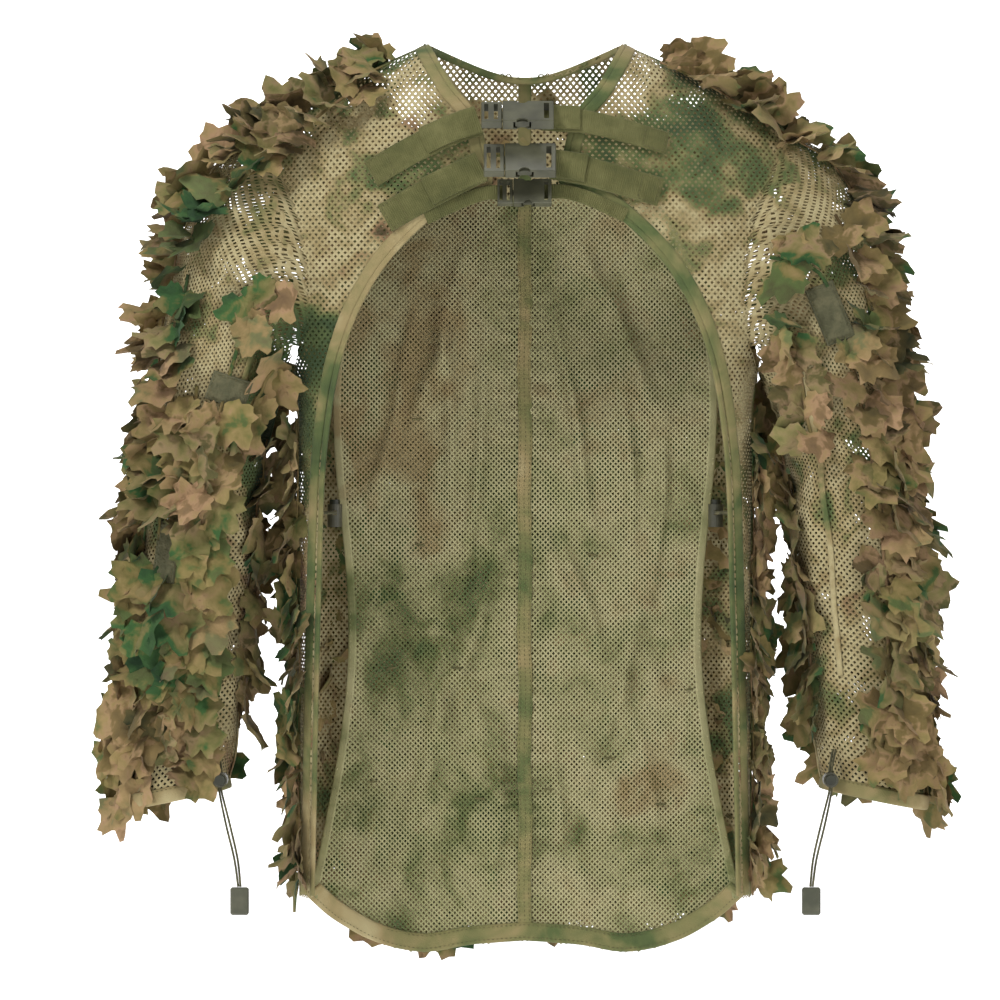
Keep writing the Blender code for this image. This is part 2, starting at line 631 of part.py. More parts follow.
def locks_and_cords(side, way):
    x, y, z = SIDE_LOCK_AT
    hole = LOCK_LENGTH / 2 - CORD_HOLE_FROM_MOUTH
    cord_lock(f"side_lock_{side}", (way * x, y, z), (0, 0, 0), SIDE_CORD_RADIUS)
    z += hole
    start = front_y(x + 0.014, z)
    route = [(x + 0.014, start + 0.0055, z), (x + 0.0055, start + 0.013, z), (x, y - 0.009, z), (x, y, z)]
    end = lining_y(x + 0.002, z) + SIDE_CORD_REACH
    route += [(x, y + 0.009, z), (x + 0.001, (y + end) / 2 + 0.005, z), (x + 0.002, end, z)]
    cord(f"side_cord_{side}", route, SIDE_CORD_RADIUS, "cord", 16, way)

    x, y, z = CUFF_LOCK_AT
    cord_lock(f"cuff_lock_{side}", (way * x, y, z), (math.pi / 2, 0, 0), CUFF_CORD_RADIUS)
    y -= hole
    route = [(x + 0.004, y + 0.013, -0.588), (x + 0.0015, y + 0.003, -0.597), (x, y, -0.605), (x, y, z)]
    route += [(x, y, -0.623), (x - 0.0065, y, -0.652), (x - 0.0135, y, -0.682)]
    route += [(x - 0.0165, y, TAB_TOP_Z + GAP)]
    cord(f"cuff_cord_{side}", route, CUFF_CORD_RADIUS, "cord", 22, way)
    tab = from_bmesh(f"cuff_cord_tab_{side}", box(TAB_SIZE, (0, 0, 0), 0.0015))
    tab.location = (way * (x - 0.0167), y, TAB_TOP_Z - TAB_SIZE[2] / 2)
    finish(tab, "buckle_plastic")


def patch(name, way, u, angle_deg, width, height, lean_deg):
    """A flat hook-and-loop patch resting on the front of a sleeve."""
    angle = math.radians(angle_deg)
    wall = 0.0025
    at = sleeve_place(u, angle, SHELL_WALL / 2 + GAP + wall / 2 + 0.001)
    facing = sleeve_place(u, angle, 0.01) - sleeve_place(u, angle)
    obj = from_bmesh(name, box((width, wall, height), (0, 0, 0), 0.0004))
    obj.location = (way * at.x, at.y, at.z)
    swing = math.atan2(facing.x, -facing.y)
    obj.rotation_euler = Euler((0, way * math.radians(lean_deg), way * swing))
    finish(obj, "patch")


for side_name, side_way in SIDES.items():
    cloth_panels(side_name, side_way)
    edge_binding(side_name, side_way)
    locks_and_cords(side_name, side_way)
    sheet(f"sleeve_garland_{side_name}", 16, 6, sleeve_garland_place, GARLAND_WALL, "leaf_cloth", side_way)
    sheet(f"side_garland_{side_name}", 8, 4, side_garland_place, GARLAND_WALL, "leaf_cloth", side_way)
sheet("back_garland", 10, 10, back_garland_place, GARLAND_WALL, "leaf_cloth")
neck_and_hem()
for buckle_name, (_, _, _, tilt_deg, size_scale) in BUCKLES.items():
    buckle(buckle_name, buckle_centre(buckle_name), tilt_deg, size_scale)
straps()
patch("sleeve_patch_upper_left", -1, 0.36, 105, 0.036, 0.026, 18)
patch("sleeve_patch_lower_left", -1, 0.66, 62, 0.022, 0.055, 3)
patch("sleeve_patch_upper_right", 1, 0.26, 84, 0.026, 0.052, 22)
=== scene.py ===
# %% [markdown]
# # An open-front ghillie jacket
#
# The jacket hangs open at the front. Two half yokes of coarse net meet at three side-release
# buckles, an arch opens below them, and the fine net lining of the back shows through it.
# Cut cloth leaves cover the sleeves, the sides and the back.
#
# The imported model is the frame: it gives every place in metres, with the middle of the back
# neckline at the origin, Z up and -Y to the front. Hard pieces stay and get a finish. Soft
# pieces are made anew on the same surfaces that the model was cut from.

import math
import random

import bmesh
import bpy
import numpy as np
from mathutils import Matrix, Vector


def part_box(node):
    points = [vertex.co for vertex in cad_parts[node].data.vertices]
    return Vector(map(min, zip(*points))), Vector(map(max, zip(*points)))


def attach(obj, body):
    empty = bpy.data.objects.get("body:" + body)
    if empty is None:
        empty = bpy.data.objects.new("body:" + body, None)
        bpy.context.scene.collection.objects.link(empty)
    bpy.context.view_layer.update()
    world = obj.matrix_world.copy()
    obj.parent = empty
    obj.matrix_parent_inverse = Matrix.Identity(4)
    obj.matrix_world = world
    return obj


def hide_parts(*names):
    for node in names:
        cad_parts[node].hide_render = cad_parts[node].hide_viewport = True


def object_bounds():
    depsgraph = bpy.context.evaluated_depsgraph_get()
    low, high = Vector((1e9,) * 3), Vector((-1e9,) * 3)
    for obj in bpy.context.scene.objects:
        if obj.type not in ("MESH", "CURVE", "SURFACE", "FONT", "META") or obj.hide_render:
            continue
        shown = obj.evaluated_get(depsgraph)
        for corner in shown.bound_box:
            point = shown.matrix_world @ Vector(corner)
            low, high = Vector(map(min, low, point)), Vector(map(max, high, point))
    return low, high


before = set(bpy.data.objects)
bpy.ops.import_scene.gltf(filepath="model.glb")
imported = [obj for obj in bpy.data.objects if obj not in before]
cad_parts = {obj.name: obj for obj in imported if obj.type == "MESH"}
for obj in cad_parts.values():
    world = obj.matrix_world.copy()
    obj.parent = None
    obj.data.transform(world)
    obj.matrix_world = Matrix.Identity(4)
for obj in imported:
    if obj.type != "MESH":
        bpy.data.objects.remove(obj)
cad_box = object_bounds()
JACKET = "jacket"
SIDES = {"left": -1, "right": 1}
print(len(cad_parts), "nodes, box", [tuple(round(c, 4) for c in corner) for corner in cad_box])

# %% [markdown]
# ## The camera and the light
#
# The jacket is seen square from the front, from far enough away that it is hardly in
# perspective. A key lamp at the upper left shapes it, a weak fill and a top lamp keep the
# shadows open, and the floor curves up into a pale wall far behind, past any camera that
# circles the jacket.

# %% Camera
VIEW_CENTRE = Vector((-0.022, 0.0, -0.3714))
VIEW_DISTANCE = 5.0
lens = bpy.data.cameras.new("camera")
lens.sensor_width = 36.0
lens.lens = 203.0
lens.clip_end = 50.0
camera = bpy.data.objects.new("camera", lens)
camera.location = VIEW_CENTRE - Vector((0, VIEW_DISTANCE, 0))
camera.rotation_euler = (math.pi / 2, 0, 0)
bpy.context.scene.collection.objects.link(camera)
bpy.context.scene.camera = camera
bpy.context.scene.view_settings.view_transform = "Standard"

# %% Node helper and colour helper


def srgb(red, green, blue):
    """A colour given as it looks on a screen, 0 to 255, as the linear colour that nodes take."""
    return tuple(
        c / 12.92 if c <= 0.04045 else ((c + 0.055) / 1.055) ** 2.4
        for c in (red / 255, green / 255, blue / 255)
    ) + (1.0,)


def node(tree, kind, inputs=None, **settings):
    """A new node: inputs take a value or another node's output, settings are its properties."""
    made = tree.nodes.new(kind)
    for key, value in settings.items():
        setattr(made, key, value)
    for key, value in (inputs or {}).items():
        if isinstance(value, bpy.types.NodeSocket):
            tree.links.new(value, made.inputs[key])
        else:
            made.inputs[key].default_value = value
    return made


# %% Floor, wall and lamps
FLOOR_Z = -0.88
backdrop = bmesh.new()
bmesh.ops.create_grid(backdrop, x_segments=1, y_segments=40, size=0.5)
for vert in backdrop.verts:
    run = (vert.co.y + 0.5) * 18.0 - 8.0
    bend = min(1.0, max(0.0, (run - 6.0) / 2.5))
    lift = max(0.0, run - 8.5)
    vert.co = (
        vert.co.x * 22,
        min(run, 6.0) + 1.6 * math.sin(bend * math.pi / 2),
        FLOOR_Z + 1.6 * (1 - math.cos(bend * math.pi / 2)) + lift * 3,
    )
sheet = bpy.data.meshes.new("backdrop")
backdrop.to_mesh(sheet)
backdrop.free()
sheet.shade_smooth()
backdrop = bpy.data.objects.new("backdrop", sheet)
bpy.context.scene.collection.objects.link(backdrop)
paper = bpy.data.materials.new("backdrop_paper")
paper.use_nodes = True
paper.node_tree.nodes["Principled BSDF"].inputs["Base Color"].default_value = (0.93, 0.93, 0.93, 1)
paper.node_tree.nodes["Principled BSDF"].inputs["Roughness"].default_value = 0.95
paper.node_tree.nodes["Principled BSDF"].inputs["Emission Color"].default_value = (1, 1, 1, 1)
paper.node_tree.nodes["Principled BSDF"].inputs["Emission Strength"].default_value = 0.65
sheet.materials.append(paper)

LAMPS = {  # place, what it points at, width, power
    "key_lamp": ((-2.0, -2.6, 2.6), (0, 0, -0.35), 1.3, 92),
    "fill_lamp": ((2.6, -3.0, 0.6), (0, 0, -0.35), 2.2, 20),
    "top_lamp": ((0.0, -0.6, 3.0), (0, 0, -0.3), 1.6, 34),
    "back_lamp": ((0.0, 5.2, 2.4), (0, 7.6, -0.3), 3.0, 110),
}
for name, (place, target, width, power) in LAMPS.items():
    lamp = bpy.data.lights.new(name, "AREA")
    lamp.shape, lamp.size, lamp.energy = "DISK", width, power
    holder = bpy.data.objects.new(name, lamp)
    holder.location = place
    holder.rotation_euler = (Vector(target) - Vector(place)).to_track_quat("-Z", "Y").to_euler()
    bpy.context.scene.collection.objects.link(holder)
world = bpy.data.worlds.new("studio")
world.use_nodes = True
world.node_tree.nodes["Background"].inputs["Color"].default_value = (1, 1, 1, 1)
world.node_tree.nodes["Background"].inputs["Strength"].default_value = 0.30
bpy.context.scene.world = world
print(len(LAMPS), "lamps")

# %% [markdown]
# ## The surfaces the cloth lies on
#
# The model's shapes come from a few smooth curves: the shoulder ridge, the half width at each
# height, the hem, and the edges of each panel. They are repeated here, so that the new cloth
# lies where the solid cloth is. Each function takes whole arrays, because a net has tens of
# thousands of corners.

# %% Smooth curves


def through(knots, at):
    """A smooth curve through (position, value) knots, read at many positions at once."""
    spots, values = np.array(knots, float).T
    slopes = np.empty(len(spots))
    slopes[1:-1] = (values[2:] - values[:-2]) / (spots[2:] - spots[:-2])
    slopes[0] = (values[1] - values[0]) / (spots[1] - spots[0])
    slopes[-1] = (values[-1] - values[-2]) / (spots[-1] - spots[-2])
    at = np.clip(np.asarray(at, float), spots[0], spots[-1])
    i = np.clip(np.searchsorted(spots, at, side="right") - 1, 0, len(spots) - 2)
    span = spots[i + 1] - spots[i]
    t = (at - spots[i]) / span
    return (
        (2 * t**3 - 3 * t**2 + 1) * values[i]
        + (t**3 - 2 * t**2 + t) * span * slopes[i]
        + (3 * t**2 - 2 * t**3) * values[i + 1]
        + (t**3 - t**2) * span * slopes[i + 1]
    )


def along(points, t):
    """Points at shares t of a smooth curve through evenly counted points, one column per axis."""
    points = np.array(points, float)
    shares = np.linspace(0, 1, len(points))
    return np.stack([through(np.stack([shares, column], 1), t) for column in points.T], -1)


def ripple(a, b, size, seed):
    """Soft random hills and hollows from about -1 to 1, one to each square of that size."""
    table = np.random.default_rng(seed).uniform(-1, 1, (64, 64))
    a, b = np.asarray(a, float) / size, np.asarray(b, float) / size
    i, j = np.floor(a).astype(int), np.floor(b).astype(int)
    s, t = a - i, b - j
    s, t = s * s * (3 - 2 * s), t * t * (3 - 2 * t)
    near = table[i % 64, j % 64] * (1 - s) + table[(i + 1) % 64, j % 64] * s
    far = table[i % 64, (j + 1) % 64] * (1 - s) + table[(i + 1) % 64, (j + 1) % 64] * s
    return near * (1 - t) + far * t


def fold(x, z, start, end, width, height):
    """A soft fold along a line that wanders a little and dies out at both ends."""
    start, end = np.array(start), np.array(end)
    run = np.hypot(*(end - start))
    way = (end - start) / run
    share = ((x - start[0]) * way[0] + (z - start[1]) * way[1]) / run
    across = (x - start[0]) * way[1] - (z - start[1]) * way[0] - 0.35 * width * np.sin(share * 9)
    ends = np.sin(np.pi * np.clip(share, 0, 1)) ** 0.7
    return height * np.exp(-((across / width) ** 2)) * ends


# %% Body
BODY_LENGTH = 0.762
BODY_HALF_WIDTH = W = 0.1965
SHOULDER_HALF_WIDTH = W + 0.0375
CHEST_HALF_WIDTH = W + 0.0515
FRONT_DEPTH, BACK_DEPTH, HEM_DEPTH_SHARE = 0.085, 0.100, 0.87
CORNER_POWER = 2.4
SHOULDER_ROUND = 0.13
UNDERARM_Z, HEM_SIDE_Z, HEM_DIP = -0.272, -BODY_LENGTH + 0.045, 0.0095
LINING_TOP_Z, LINING_GAP, LINING_BOW = -0.100, 0.025, 0.035
SHELL_OFF = 0.0014
RIDGE = [(0, 0.040), (0.086, 0.025), (0.128, 0.006), (0.195, -0.028), (0.234, -0.052), (0.30, -0.10)]
HALF_WIDTHS = [
    (-BODY_LENGTH, BODY_HALF_WIDTH - 0.0005),
    (-0.48, BODY_HALF_WIDTH),
    (-0.36, BODY_HALF_WIDTH + 0.0015),
    (UNDERARM_Z, BODY_HALF_WIDTH + 0.004),
    (-0.20, CHEST_HALF_WIDTH - 0.020),
    (-0.12, CHEST_HALF_WIDTH),
    (0.04, CHEST_HALF_WIDTH),
]
HEM = [(0, -BODY_LENGTH), (0.05, -BODY_LENGTH - 0.4 * HEM_DIP), (0.09, -BODY_LENGTH - HEM_DIP)]
HEM += [(0.13, -BODY_LENGTH), (0.165, -BODY_LENGTH + 0.021), (0.19, HEM_SIDE_Z)]


def shoulder(x, z):
    """1 on the flat of the front or back, falling to 0 at the shoulder ridge."""
    below = np.clip((through(RIDGE, np.abs(x)) - z) / SHOULDER_ROUND, 0, 1)
    return np.sqrt(np.maximum(0, 1 - (1 - below) ** 2))


def turn(x, z):
    """1 at the middle of the body, falling to 0 at its side."""
    share = np.minimum(1, np.abs(x) / through(HALF_WIDTHS, z))
    return (1 - share**CORNER_POWER) ** (1 / CORNER_POWER)


def hem_taper(z):
    return 1 - (1 - HEM_DEPTH_SHARE) * np.clip((-z / BODY_LENGTH - 0.6) / 0.4, 0, 1)


MIDDLE_Y = -BACK_DEPTH * float(shoulder(0, 0))


def front_y(x, z):
    return MIDDLE_Y - SHELL_OFF - FRONT_DEPTH * shoulder(x, z) * turn(x, z) * hem_taper(z)


def back_y(x, z):
    return MIDDLE_Y + SHELL_OFF + BACK_DEPTH * shoulder(x, z) * turn(x, z) * hem_taper(z)


def lining_y(x, z):
    low = [(-BODY_LENGTH - 0.013, 0.12), (-BODY_LENGTH + 0.067, 0.5), (-0.67 * BODY_LENGTH, 1.0)]
    hang = through(low + [(-0.25, 0.8), (LINING_TOP_Z, 0.12)], z)
    ease = hang - 0.12
    inside = back_y(x * (1 - 0.2 * ease), z) - LINING_GAP * hang - 0.001
    return inside - LINING_BOW * ease * (x / (W - 0.0265)) ** 2


# %% Panel edges, as (x, z) from the neck down
def down_side(share):
    return UNDERARM_Z + share * (HEM_SIDE_Z - UNDERARM_Z)


FRONT_INNER = [(0.086, 0.025), (0.066, -0.012), (0.046, -0.038), (0.036, -0.068), (0.033, -0.103)]
FRONT_INNER += [(0.075, -0.122), (W - 0.0715, -0.172), (W - 0.0385, -0.240), (W - 0.0225, down_side(0.13))]
FRONT_INNER += [(W - 0.0175, down_side(0.40)), (W - 0.0145, down_side(0.67))]
FRONT_INNER += [(W - 0.0115, HEM_SIDE_Z + 0.002)]
FRONT_OUTER = [(0.128, 0.006), (0.195, -0.028), (SHOULDER_HALF_WIDTH, -0.052), (0.212, -0.090)]
FRONT_OUTER += [(0.195, -0.135), (0.190, -0.180), (0.192, -0.225), (0.204, UNDERARM_Z)]
FRONT_OUTER += [(0.204, down_side(share)) for share in (0.18, 0.40, 0.67, 1.0)]
BACK_OUTER = [(0.086, 0.025), (0.160, -0.010), (SHOULDER_HALF_WIDTH, -0.052), (0.212, -0.095)]
BACK_OUTER += [(0.193, -0.150), (0.190, -0.215), (0.204, UNDERARM_Z)]
BACK_OUTER += [(0.204, down_side(share)) for share in (0.20, 0.47, 0.72, 1.0)]
LINING_HALF_WIDTHS = [(0.0, W - 0.0765), (0.10, W - 0.0465), (0.22, W - 0.0325), (0.35, W - 0.0325)]
LINING_HALF_WIDTHS += [(0.50, W - 0.0420), (0.62, W - 0.0445), (0.74, W - 0.0375), (0.87, W - 0.0245)]
LINING_HALF_WIDTHS += [(1.0, W - 0.0105)]


def edge(points, count):
    """An edge as evenly counted (x, z) rows, kept on the side seam below the underarm."""
    line = along(points, np.linspace(0, 1, count))
    line[:, 0] = np.minimum(line[:, 0], through(HALF_WIDTHS, line[:, 1]))
    return line


def hem_line(outer_x, count):
    x = np.linspace(0, outer_x, count)
    return np.stack([x, through(HEM, x)], 1)


front_inner, front_outer = edge(FRONT_INNER, 120), edge(FRONT_OUTER, 120)
back_outer = edge(BACK_OUTER, 120)
lining_share = np.linspace(0, 1, 120)
lining_x = through(LINING_HALF_WIDTHS, lining_share)
lining_z = LINING_TOP_Z - 0.010 + (through(HEM, lining_x) - LINING_TOP_Z + 0.010) * lining_share
lining_outer = np.stack([lining_x, lining_z], 1)
print("arch from", front_inner[40].round(3), "to", front_inner[-1].round(3))

# %% [markdown]
# The cloth isn't smooth. The lining hangs from the yoke and the middle seam, so long soft folds
# run down and outwards from them. The yoke, the sleeves and the back have lower, broader hills.
# Each cloth is one function, and its bindings, straps and leaves read the same function, so
# they stay on the cloth wherever it rises.

# %% Cloth with its folds
LINING_FOLDS = [  # start, end, width, height towards the front
    ((-0.045, -0.135), (-0.105, -0.330), 0.008, 0.0060),
    ((-0.075, -0.170), (-0.060, -0.420), 0.007, 0.0048),
    ((-0.095, -0.200), (-0.140, -0.400), 0.006, 0.0042),
    ((-0.030, -0.200), (-0.052, -0.460), 0.006, 0.0048),
    ((-0.120, -0.420), (-0.050, -0.640), 0.009, 0.0050),
    ((-0.060, -0.480), (-0.110, -0.700), 0.008, 0.0042),
    ((-0.020, -0.420), (-0.070, -0.560), 0.006, 0.0036),
    ((-0.020, -0.560), (-0.028, -0.730), 0.006, 0.0036),
    ((0.045, -0.130), (0.120, -0.300), 0.008, 0.0060),
    ((0.022, -0.180), (0.062, -0.400), 0.006, 0.0054),
    ((0.080, -0.190), (0.100, -0.460), 0.007, 0.0048),
    ((0.128, -0.270), (0.112, -0.470), 0.006, 0.0042),
    ((0.022, -0.380), (0.080, -0.540), 0.007, 0.0042),
    ((0.115, -0.430), (0.050, -0.640), 0.009, 0.0050),
    ((0.085, -0.520), (0.125, -0.710), 0.008, 0.0042),
    ((0.024, -0.560), (0.034, -0.730), 0.006, 0.0036),
]


def lining_cloth(x, z):
    free = np.clip((LINING_TOP_Z - z) / 0.06, 0, 1) * np.clip((z + BODY_LENGTH) / 0.05, 0, 1)
    lift = 1.7 * sum(fold(x, z, *each) for each in LINING_FOLDS)
    slant = x + 0.35 * z
    lift = lift + 0.0030 * ripple(slant, z * 0.45, 0.014, 5) + 0.0040 * ripple(x, z * 0.4, 0.040, 6)
    seam = np.clip(np.abs(x) / 0.018, 0, 1)
    pucker = 0.0013 * np.sin(z * 430 + 2 * np.sin(z * 60)) * np.exp(-((np.abs(x) - 0.012) / 0.012) ** 2)
    return np.stack([x, lining_y(x, z) - free * (lift * seam + pucker), z], -1)


def front_cloth(x, z, side=1):
    calm = np.clip(shoulder(x, z) * turn(x, z) * 1.6, 0, 1)
    lift = 0.0022 * ripple(side * x + 0.3 * z, z, 0.042, 11) + 0.0012 * ripple(side * x, z, 0.018, 12)
    return np.stack([x, front_y(x, z) - calm * lift, z], -1)


def back_cloth(x, z, side=1):
    calm = np.clip(shoulder(x, z) * turn(x, z) * 1.6, 0, 1) * np.clip(np.abs(x) / 0.02, 0, 1)
    lift = 0.0030 * ripple(side * x, z * 0.6, 0.050, 21) + 0.0014 * ripple(side * x, z, 0.020, 22)
    return np.stack([x, back_y(x, z) + calm * lift, z], -1)


# %% Sleeves
SLEEVE_DEPTH, CUFF_DEPTH, ARMHOLE_BOW = 0.066, 0.045, 0.020
SLEEVE_RINGS = [  # outer x and z, inner x and z, half depth
    (0.239, -0.054, 0.210, UNDERARM_Z - 0.004, SLEEVE_DEPTH),
    (0.275, -0.085, 0.216, -0.287, SLEEVE_DEPTH + 0.003),
    (0.300, -0.150, 0.222, -0.307, SLEEVE_DEPTH + 0.003),
    (0.316, -0.240, 0.228, -0.345, SLEEVE_DEPTH - 0.001),
    (0.328, -0.340, 0.235, -0.400, 0.060),
    (0.338, -0.450, 0.243, -0.470, 0.054),
    (0.346, -0.560, 0.252, -0.560, 0.049),
    (0.352, -0.640, 0.260, -0.620, CUFF_DEPTH),
]
SLEEVE_RUN = 0.600
SHOULDER_RINGS = [(0.100, 0.020, 0.085, -0.085, 0.066), (0.165, -0.011, 0.150, -0.115, 0.069)]


def ring_place(rings, u, angle, off):
    """A place on a sleeve's rings and the way out from it; angle 0 is the outer line, + the front."""
    x0, z0, x1, z1, depth = np.moveaxis(along(rings, u), -1, 0)
    nothing = np.zeros_like(x0)
    reach = np.stack([(x0 - x1) / 2, nothing, (z0 - z1) / 2], -1)
    centre = np.stack([(x0 + x1) / 2, nothing + MIDDLE_Y + 0.004, (z0 + z1) / 2], -1)
    cosine, sine = np.cos(angle)[..., None], np.sin(angle)[..., None]
    forward = np.stack([nothing, -nothing - 1, nothing], -1)
    out = reach / np.linalg.norm(reach, axis=-1, keepdims=True) * cosine + forward * sine
    here = centre + reach * cosine + forward * depth[..., None] * sine
    return here + out * np.asarray(off)[..., None], out


def sleeve_radius(u):
    """The radius of a circle as long as the sleeve's ring there."""
    x0, z0, x1, z1, depth = np.moveaxis(along(SLEEVE_RINGS, u), -1, 0)
    return np.sqrt((((x0 - x1) ** 2 + (z0 - z1) ** 2) / 4 + depth**2) / 2)


def sleeve_cloth(u, angle, side=1, off=0.0):
    u, angle = np.asarray(u, float), np.asarray(angle, float)
    s, c = np.sin(angle), np.cos(angle)
    ends = np.clip(u / 0.06, 0, 1) * np.clip((1 - u) / 0.05, 0, 1)
    lift = 0.0034 * ripple(u * 9 + side * c * 0.5, s * 2.0 + c + u * 3, 0.8, 31)
    lift = lift + 0.0014 * ripple(u * 16 + s * 1.2, c * 3 + side, 0.9, 32)
    elbow = np.exp(-(((u - 0.52) / 0.16) ** 2))
    lift = lift + 0.0032 * elbow * np.sin(u * 34 + 1.1 * s + 0.8 * side) * (0.6 - 0.4 * c)
    here, out = ring_place(SLEEVE_RINGS, u, angle, off + ends * lift)
    bow = ARMHOLE_BOW * np.maximum(0, 1 - 6 * u) * s**2
    here[..., 0] -= bow
    return here, out


print("sleeve radius", sleeve_radius(np.array([0.0, 1.0])).round(3), "at top and cuff")

# %% [markdown]
# ## Finishes
#
# One camouflage print covers every cloth: soft-edged patches of sand, tan, olive, green and
# dark brown. Two noises mix it, a broad one for the patches and a fine one that breaks their
# edges. Each cloth shifts the balance between light and dark, because the lining is paler than
# the leaves. All of them read Object coordinates, so the print runs across the seams.

# %% Camouflage print
SAND, TAN, CLAY = srgb(176, 164, 124), srgb(150, 134, 94), srgb(134, 108, 78)
OLIVE, GREEN, PINE, BARK = srgb(122, 118, 76), srgb(84, 96, 56), srgb(56, 72, 44), srgb(74, 62, 40)


def camouflage(tree, colours, size, shift=0.0, place=(0, 0, 0), fine=0.35):
    """The print's colour: colours are (position 0 to 1, colour), size is a patch's, in metres."""
    coordinates = node(tree, "ShaderNodeTexCoord")
    mapping = node(tree, "ShaderNodeMapping", {"Vector": coordinates.outputs["Object"], "Location": place})
    blotches = {"Scale": 0.55 / size, "Detail": 3.5, "Roughness": 0.58, "Distortion": 0.7}
    broad = node(tree, "ShaderNodeTexNoise", {"Vector": mapping.outputs[0], **blotches})
    specks = {"Scale": 2.6 / size, "Detail": 3.0, "Roughness": 0.6, "Distortion": 0.4}
    small = node(tree, "ShaderNodeTexNoise", {"Vector": mapping.outputs[0], **specks})
    mixed = node(
        tree,
        "ShaderNodeMix",
        {0: fine, 2: broad.outputs[0], 3: small.outputs[0]},
        data_type="FLOAT",
    )
    wide = node(
        tree,
        "ShaderNodeMapRange",
        {"Value": mixed.outputs[0], "From Min": 0.34 - shift, "From Max": 0.66 - shift},
    )
    ramp = node(tree, "ShaderNodeValToRGB", {"Fac": wide.outputs[0]})
    for at, colour in colours[1:-1]:
        ramp.color_ramp.elements.new(at).color = colour
    ramp.color_ramp.elements[0].color, ramp.color_ramp.elements[-1].color = colours[0][1], colours[-1][1]
    return ramp.outputs[0]


def add_grain(tree, scale, detail, distance, strength):
    """A fine bump over the whole surface."""
    coordinates = node(tree, "ShaderNodeTexCoord")
    noise = {"Vector": coordinates.outputs["Object"], "Scale": scale, "Detail": detail}
    grain = node(tree, "ShaderNodeTexNoise", noise)
    rise = {"Height": grain.outputs[0], "Distance": distance, "Strength": strength}
    bump = node(tree, "ShaderNodeBump", rise)
    tree.links.new(bump.outputs[0], tree.nodes["Principled BSDF"].inputs["Normal"])


def cloth_finish(name, colours, size, shift=0.0, place=(0, 0, 0), roughness=0.88, weave=0.0006, fine=0.35):
    """A matt printed cloth with a fine uneven weave."""
    made = bpy.data.materials.new(name)
    made.use_nodes = True
    tree = made.node_tree
    shader = tree.nodes["Principled BSDF"]
    colour = camouflage(tree, colours, size, shift, place, fine)
    tree.links.new(colour, shader.inputs["Base Color"])
    shader.inputs["Roughness"].default_value = roughness
    shader.inputs["Sheen Weight"].default_value = 0.08
    shader.inputs["Specular IOR Level"].default_value = 0.25
    add_grain(tree, 1 / weave, 1.0, weave, 0.5)
    return made


coarse_finish = cloth_finish(
    "coarse_net_print",
    [
        (0, PINE),
        (0.24, GREEN),
        (0.36, OLIVE),
        (0.44, TAN),
        (0.60, SAND),
        (0.76, TAN),
        (0.88, CLAY),
        (1, BARK),
    ],
    0.075,
)
lining_finish = cloth_finish(
    "lining_net_print",
    [
        (0, srgb(70, 88, 52)),
        (0.20, srgb(106, 112, 70)),
        (0.42, srgb(150, 148, 106)),
        (0.7, srgb(170, 164, 124)),
        (1, srgb(148, 132, 94)),
    ],
    0.10,
    shift=0.02,
    place=(3, 1, 0),
)
TAPE_COLOURS = [(0, PINE), (0.3, GREEN), (0.5, OLIVE), (0.72, TAN), (1, SAND)]
tape_finish = cloth_finish("tape_print", TAPE_COLOURS, 0.12, place=(5, 2, 1), weave=0.0009)
EDGE_COLOURS = [(0, BARK), (0.35, GREEN), (0.6, OLIVE), (1, TAN)]
edge_finish = cloth_finish("edge_binding_print", EDGE_COLOURS, 0.08, place=(1, 4, 2), weave=0.0008)
print("camouflage finishes:", [f.name for f in (coarse_finish, lining_finish, tape_finish, edge_finish)])

# %% [markdown]
# ## Putting pieces in place
#
# Every soft piece rides on the jacket, takes its finish from a named slot and stands for the
# solid nodes that it hides.

# %% Placing helpers


def add_piece(name, shape, finish, stands_for=(), smooth=True, colours=None):
    """A bmesh made into a piece of the jacket."""
    mesh = bpy.data.meshes.new(name)
    shape.to_mesh(mesh)
    shape.free()
    if smooth:
        mesh.shade_smooth()
    if colours is not None:
        tint = mesh.attributes.new("tint", "FLOAT_COLOR", "POINT")
        tint.data.foreach_set("color", np.asarray(colours, np.float32).ravel())
    mesh.materials.append(finish)
    piece = bpy.data.objects.new(name, mesh)
    bpy.context.scene.collection.objects.link(piece)
    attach(piece, JACKET)
    if stands_for:
        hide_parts(*([stands_for] if isinstance(stands_for, str) else stands_for))
    return piece


def face_out(shape, way):
    """Turns all faces round if most of them look against the way given for their place."""
    shape.normal_update()
    against = sum(face.normal.dot(Vector(way(face.calc_center_median()))) for face in shape.faces)
    if against < 0:
        bmesh.ops.reverse_faces(shape, faces=shape.faces[:])


# %% [markdown]
# ## The nets
#
# The shell is a coarse knitted net and the lining a finer one. Their holes are what the eye
# notices first, so each hole is a real opening and not a printed dot. A flat grid becomes a
# brick pattern when every other upright edge is dissolved. Shifting the corners makes each
# brick a six-sided cell. Insetting every cell and deleting its middle leaves threads, and the
# inner corners sink a little, so the threads are round-backed. Only then is the flat net laid
# on its surface. A cell costs twelve triangles, which keeps a sleeve under the limit.

# %% Net maker
COARSE = {"pitch": 0.0058, "row": 0.0032, "hole": (0.00140, 0.00140), "sink": 0.00045}
FINE = {"pitch": 0.0046, "row": 0.0024, "hole": (0.00118, 0.00150), "sink": 0.0004}


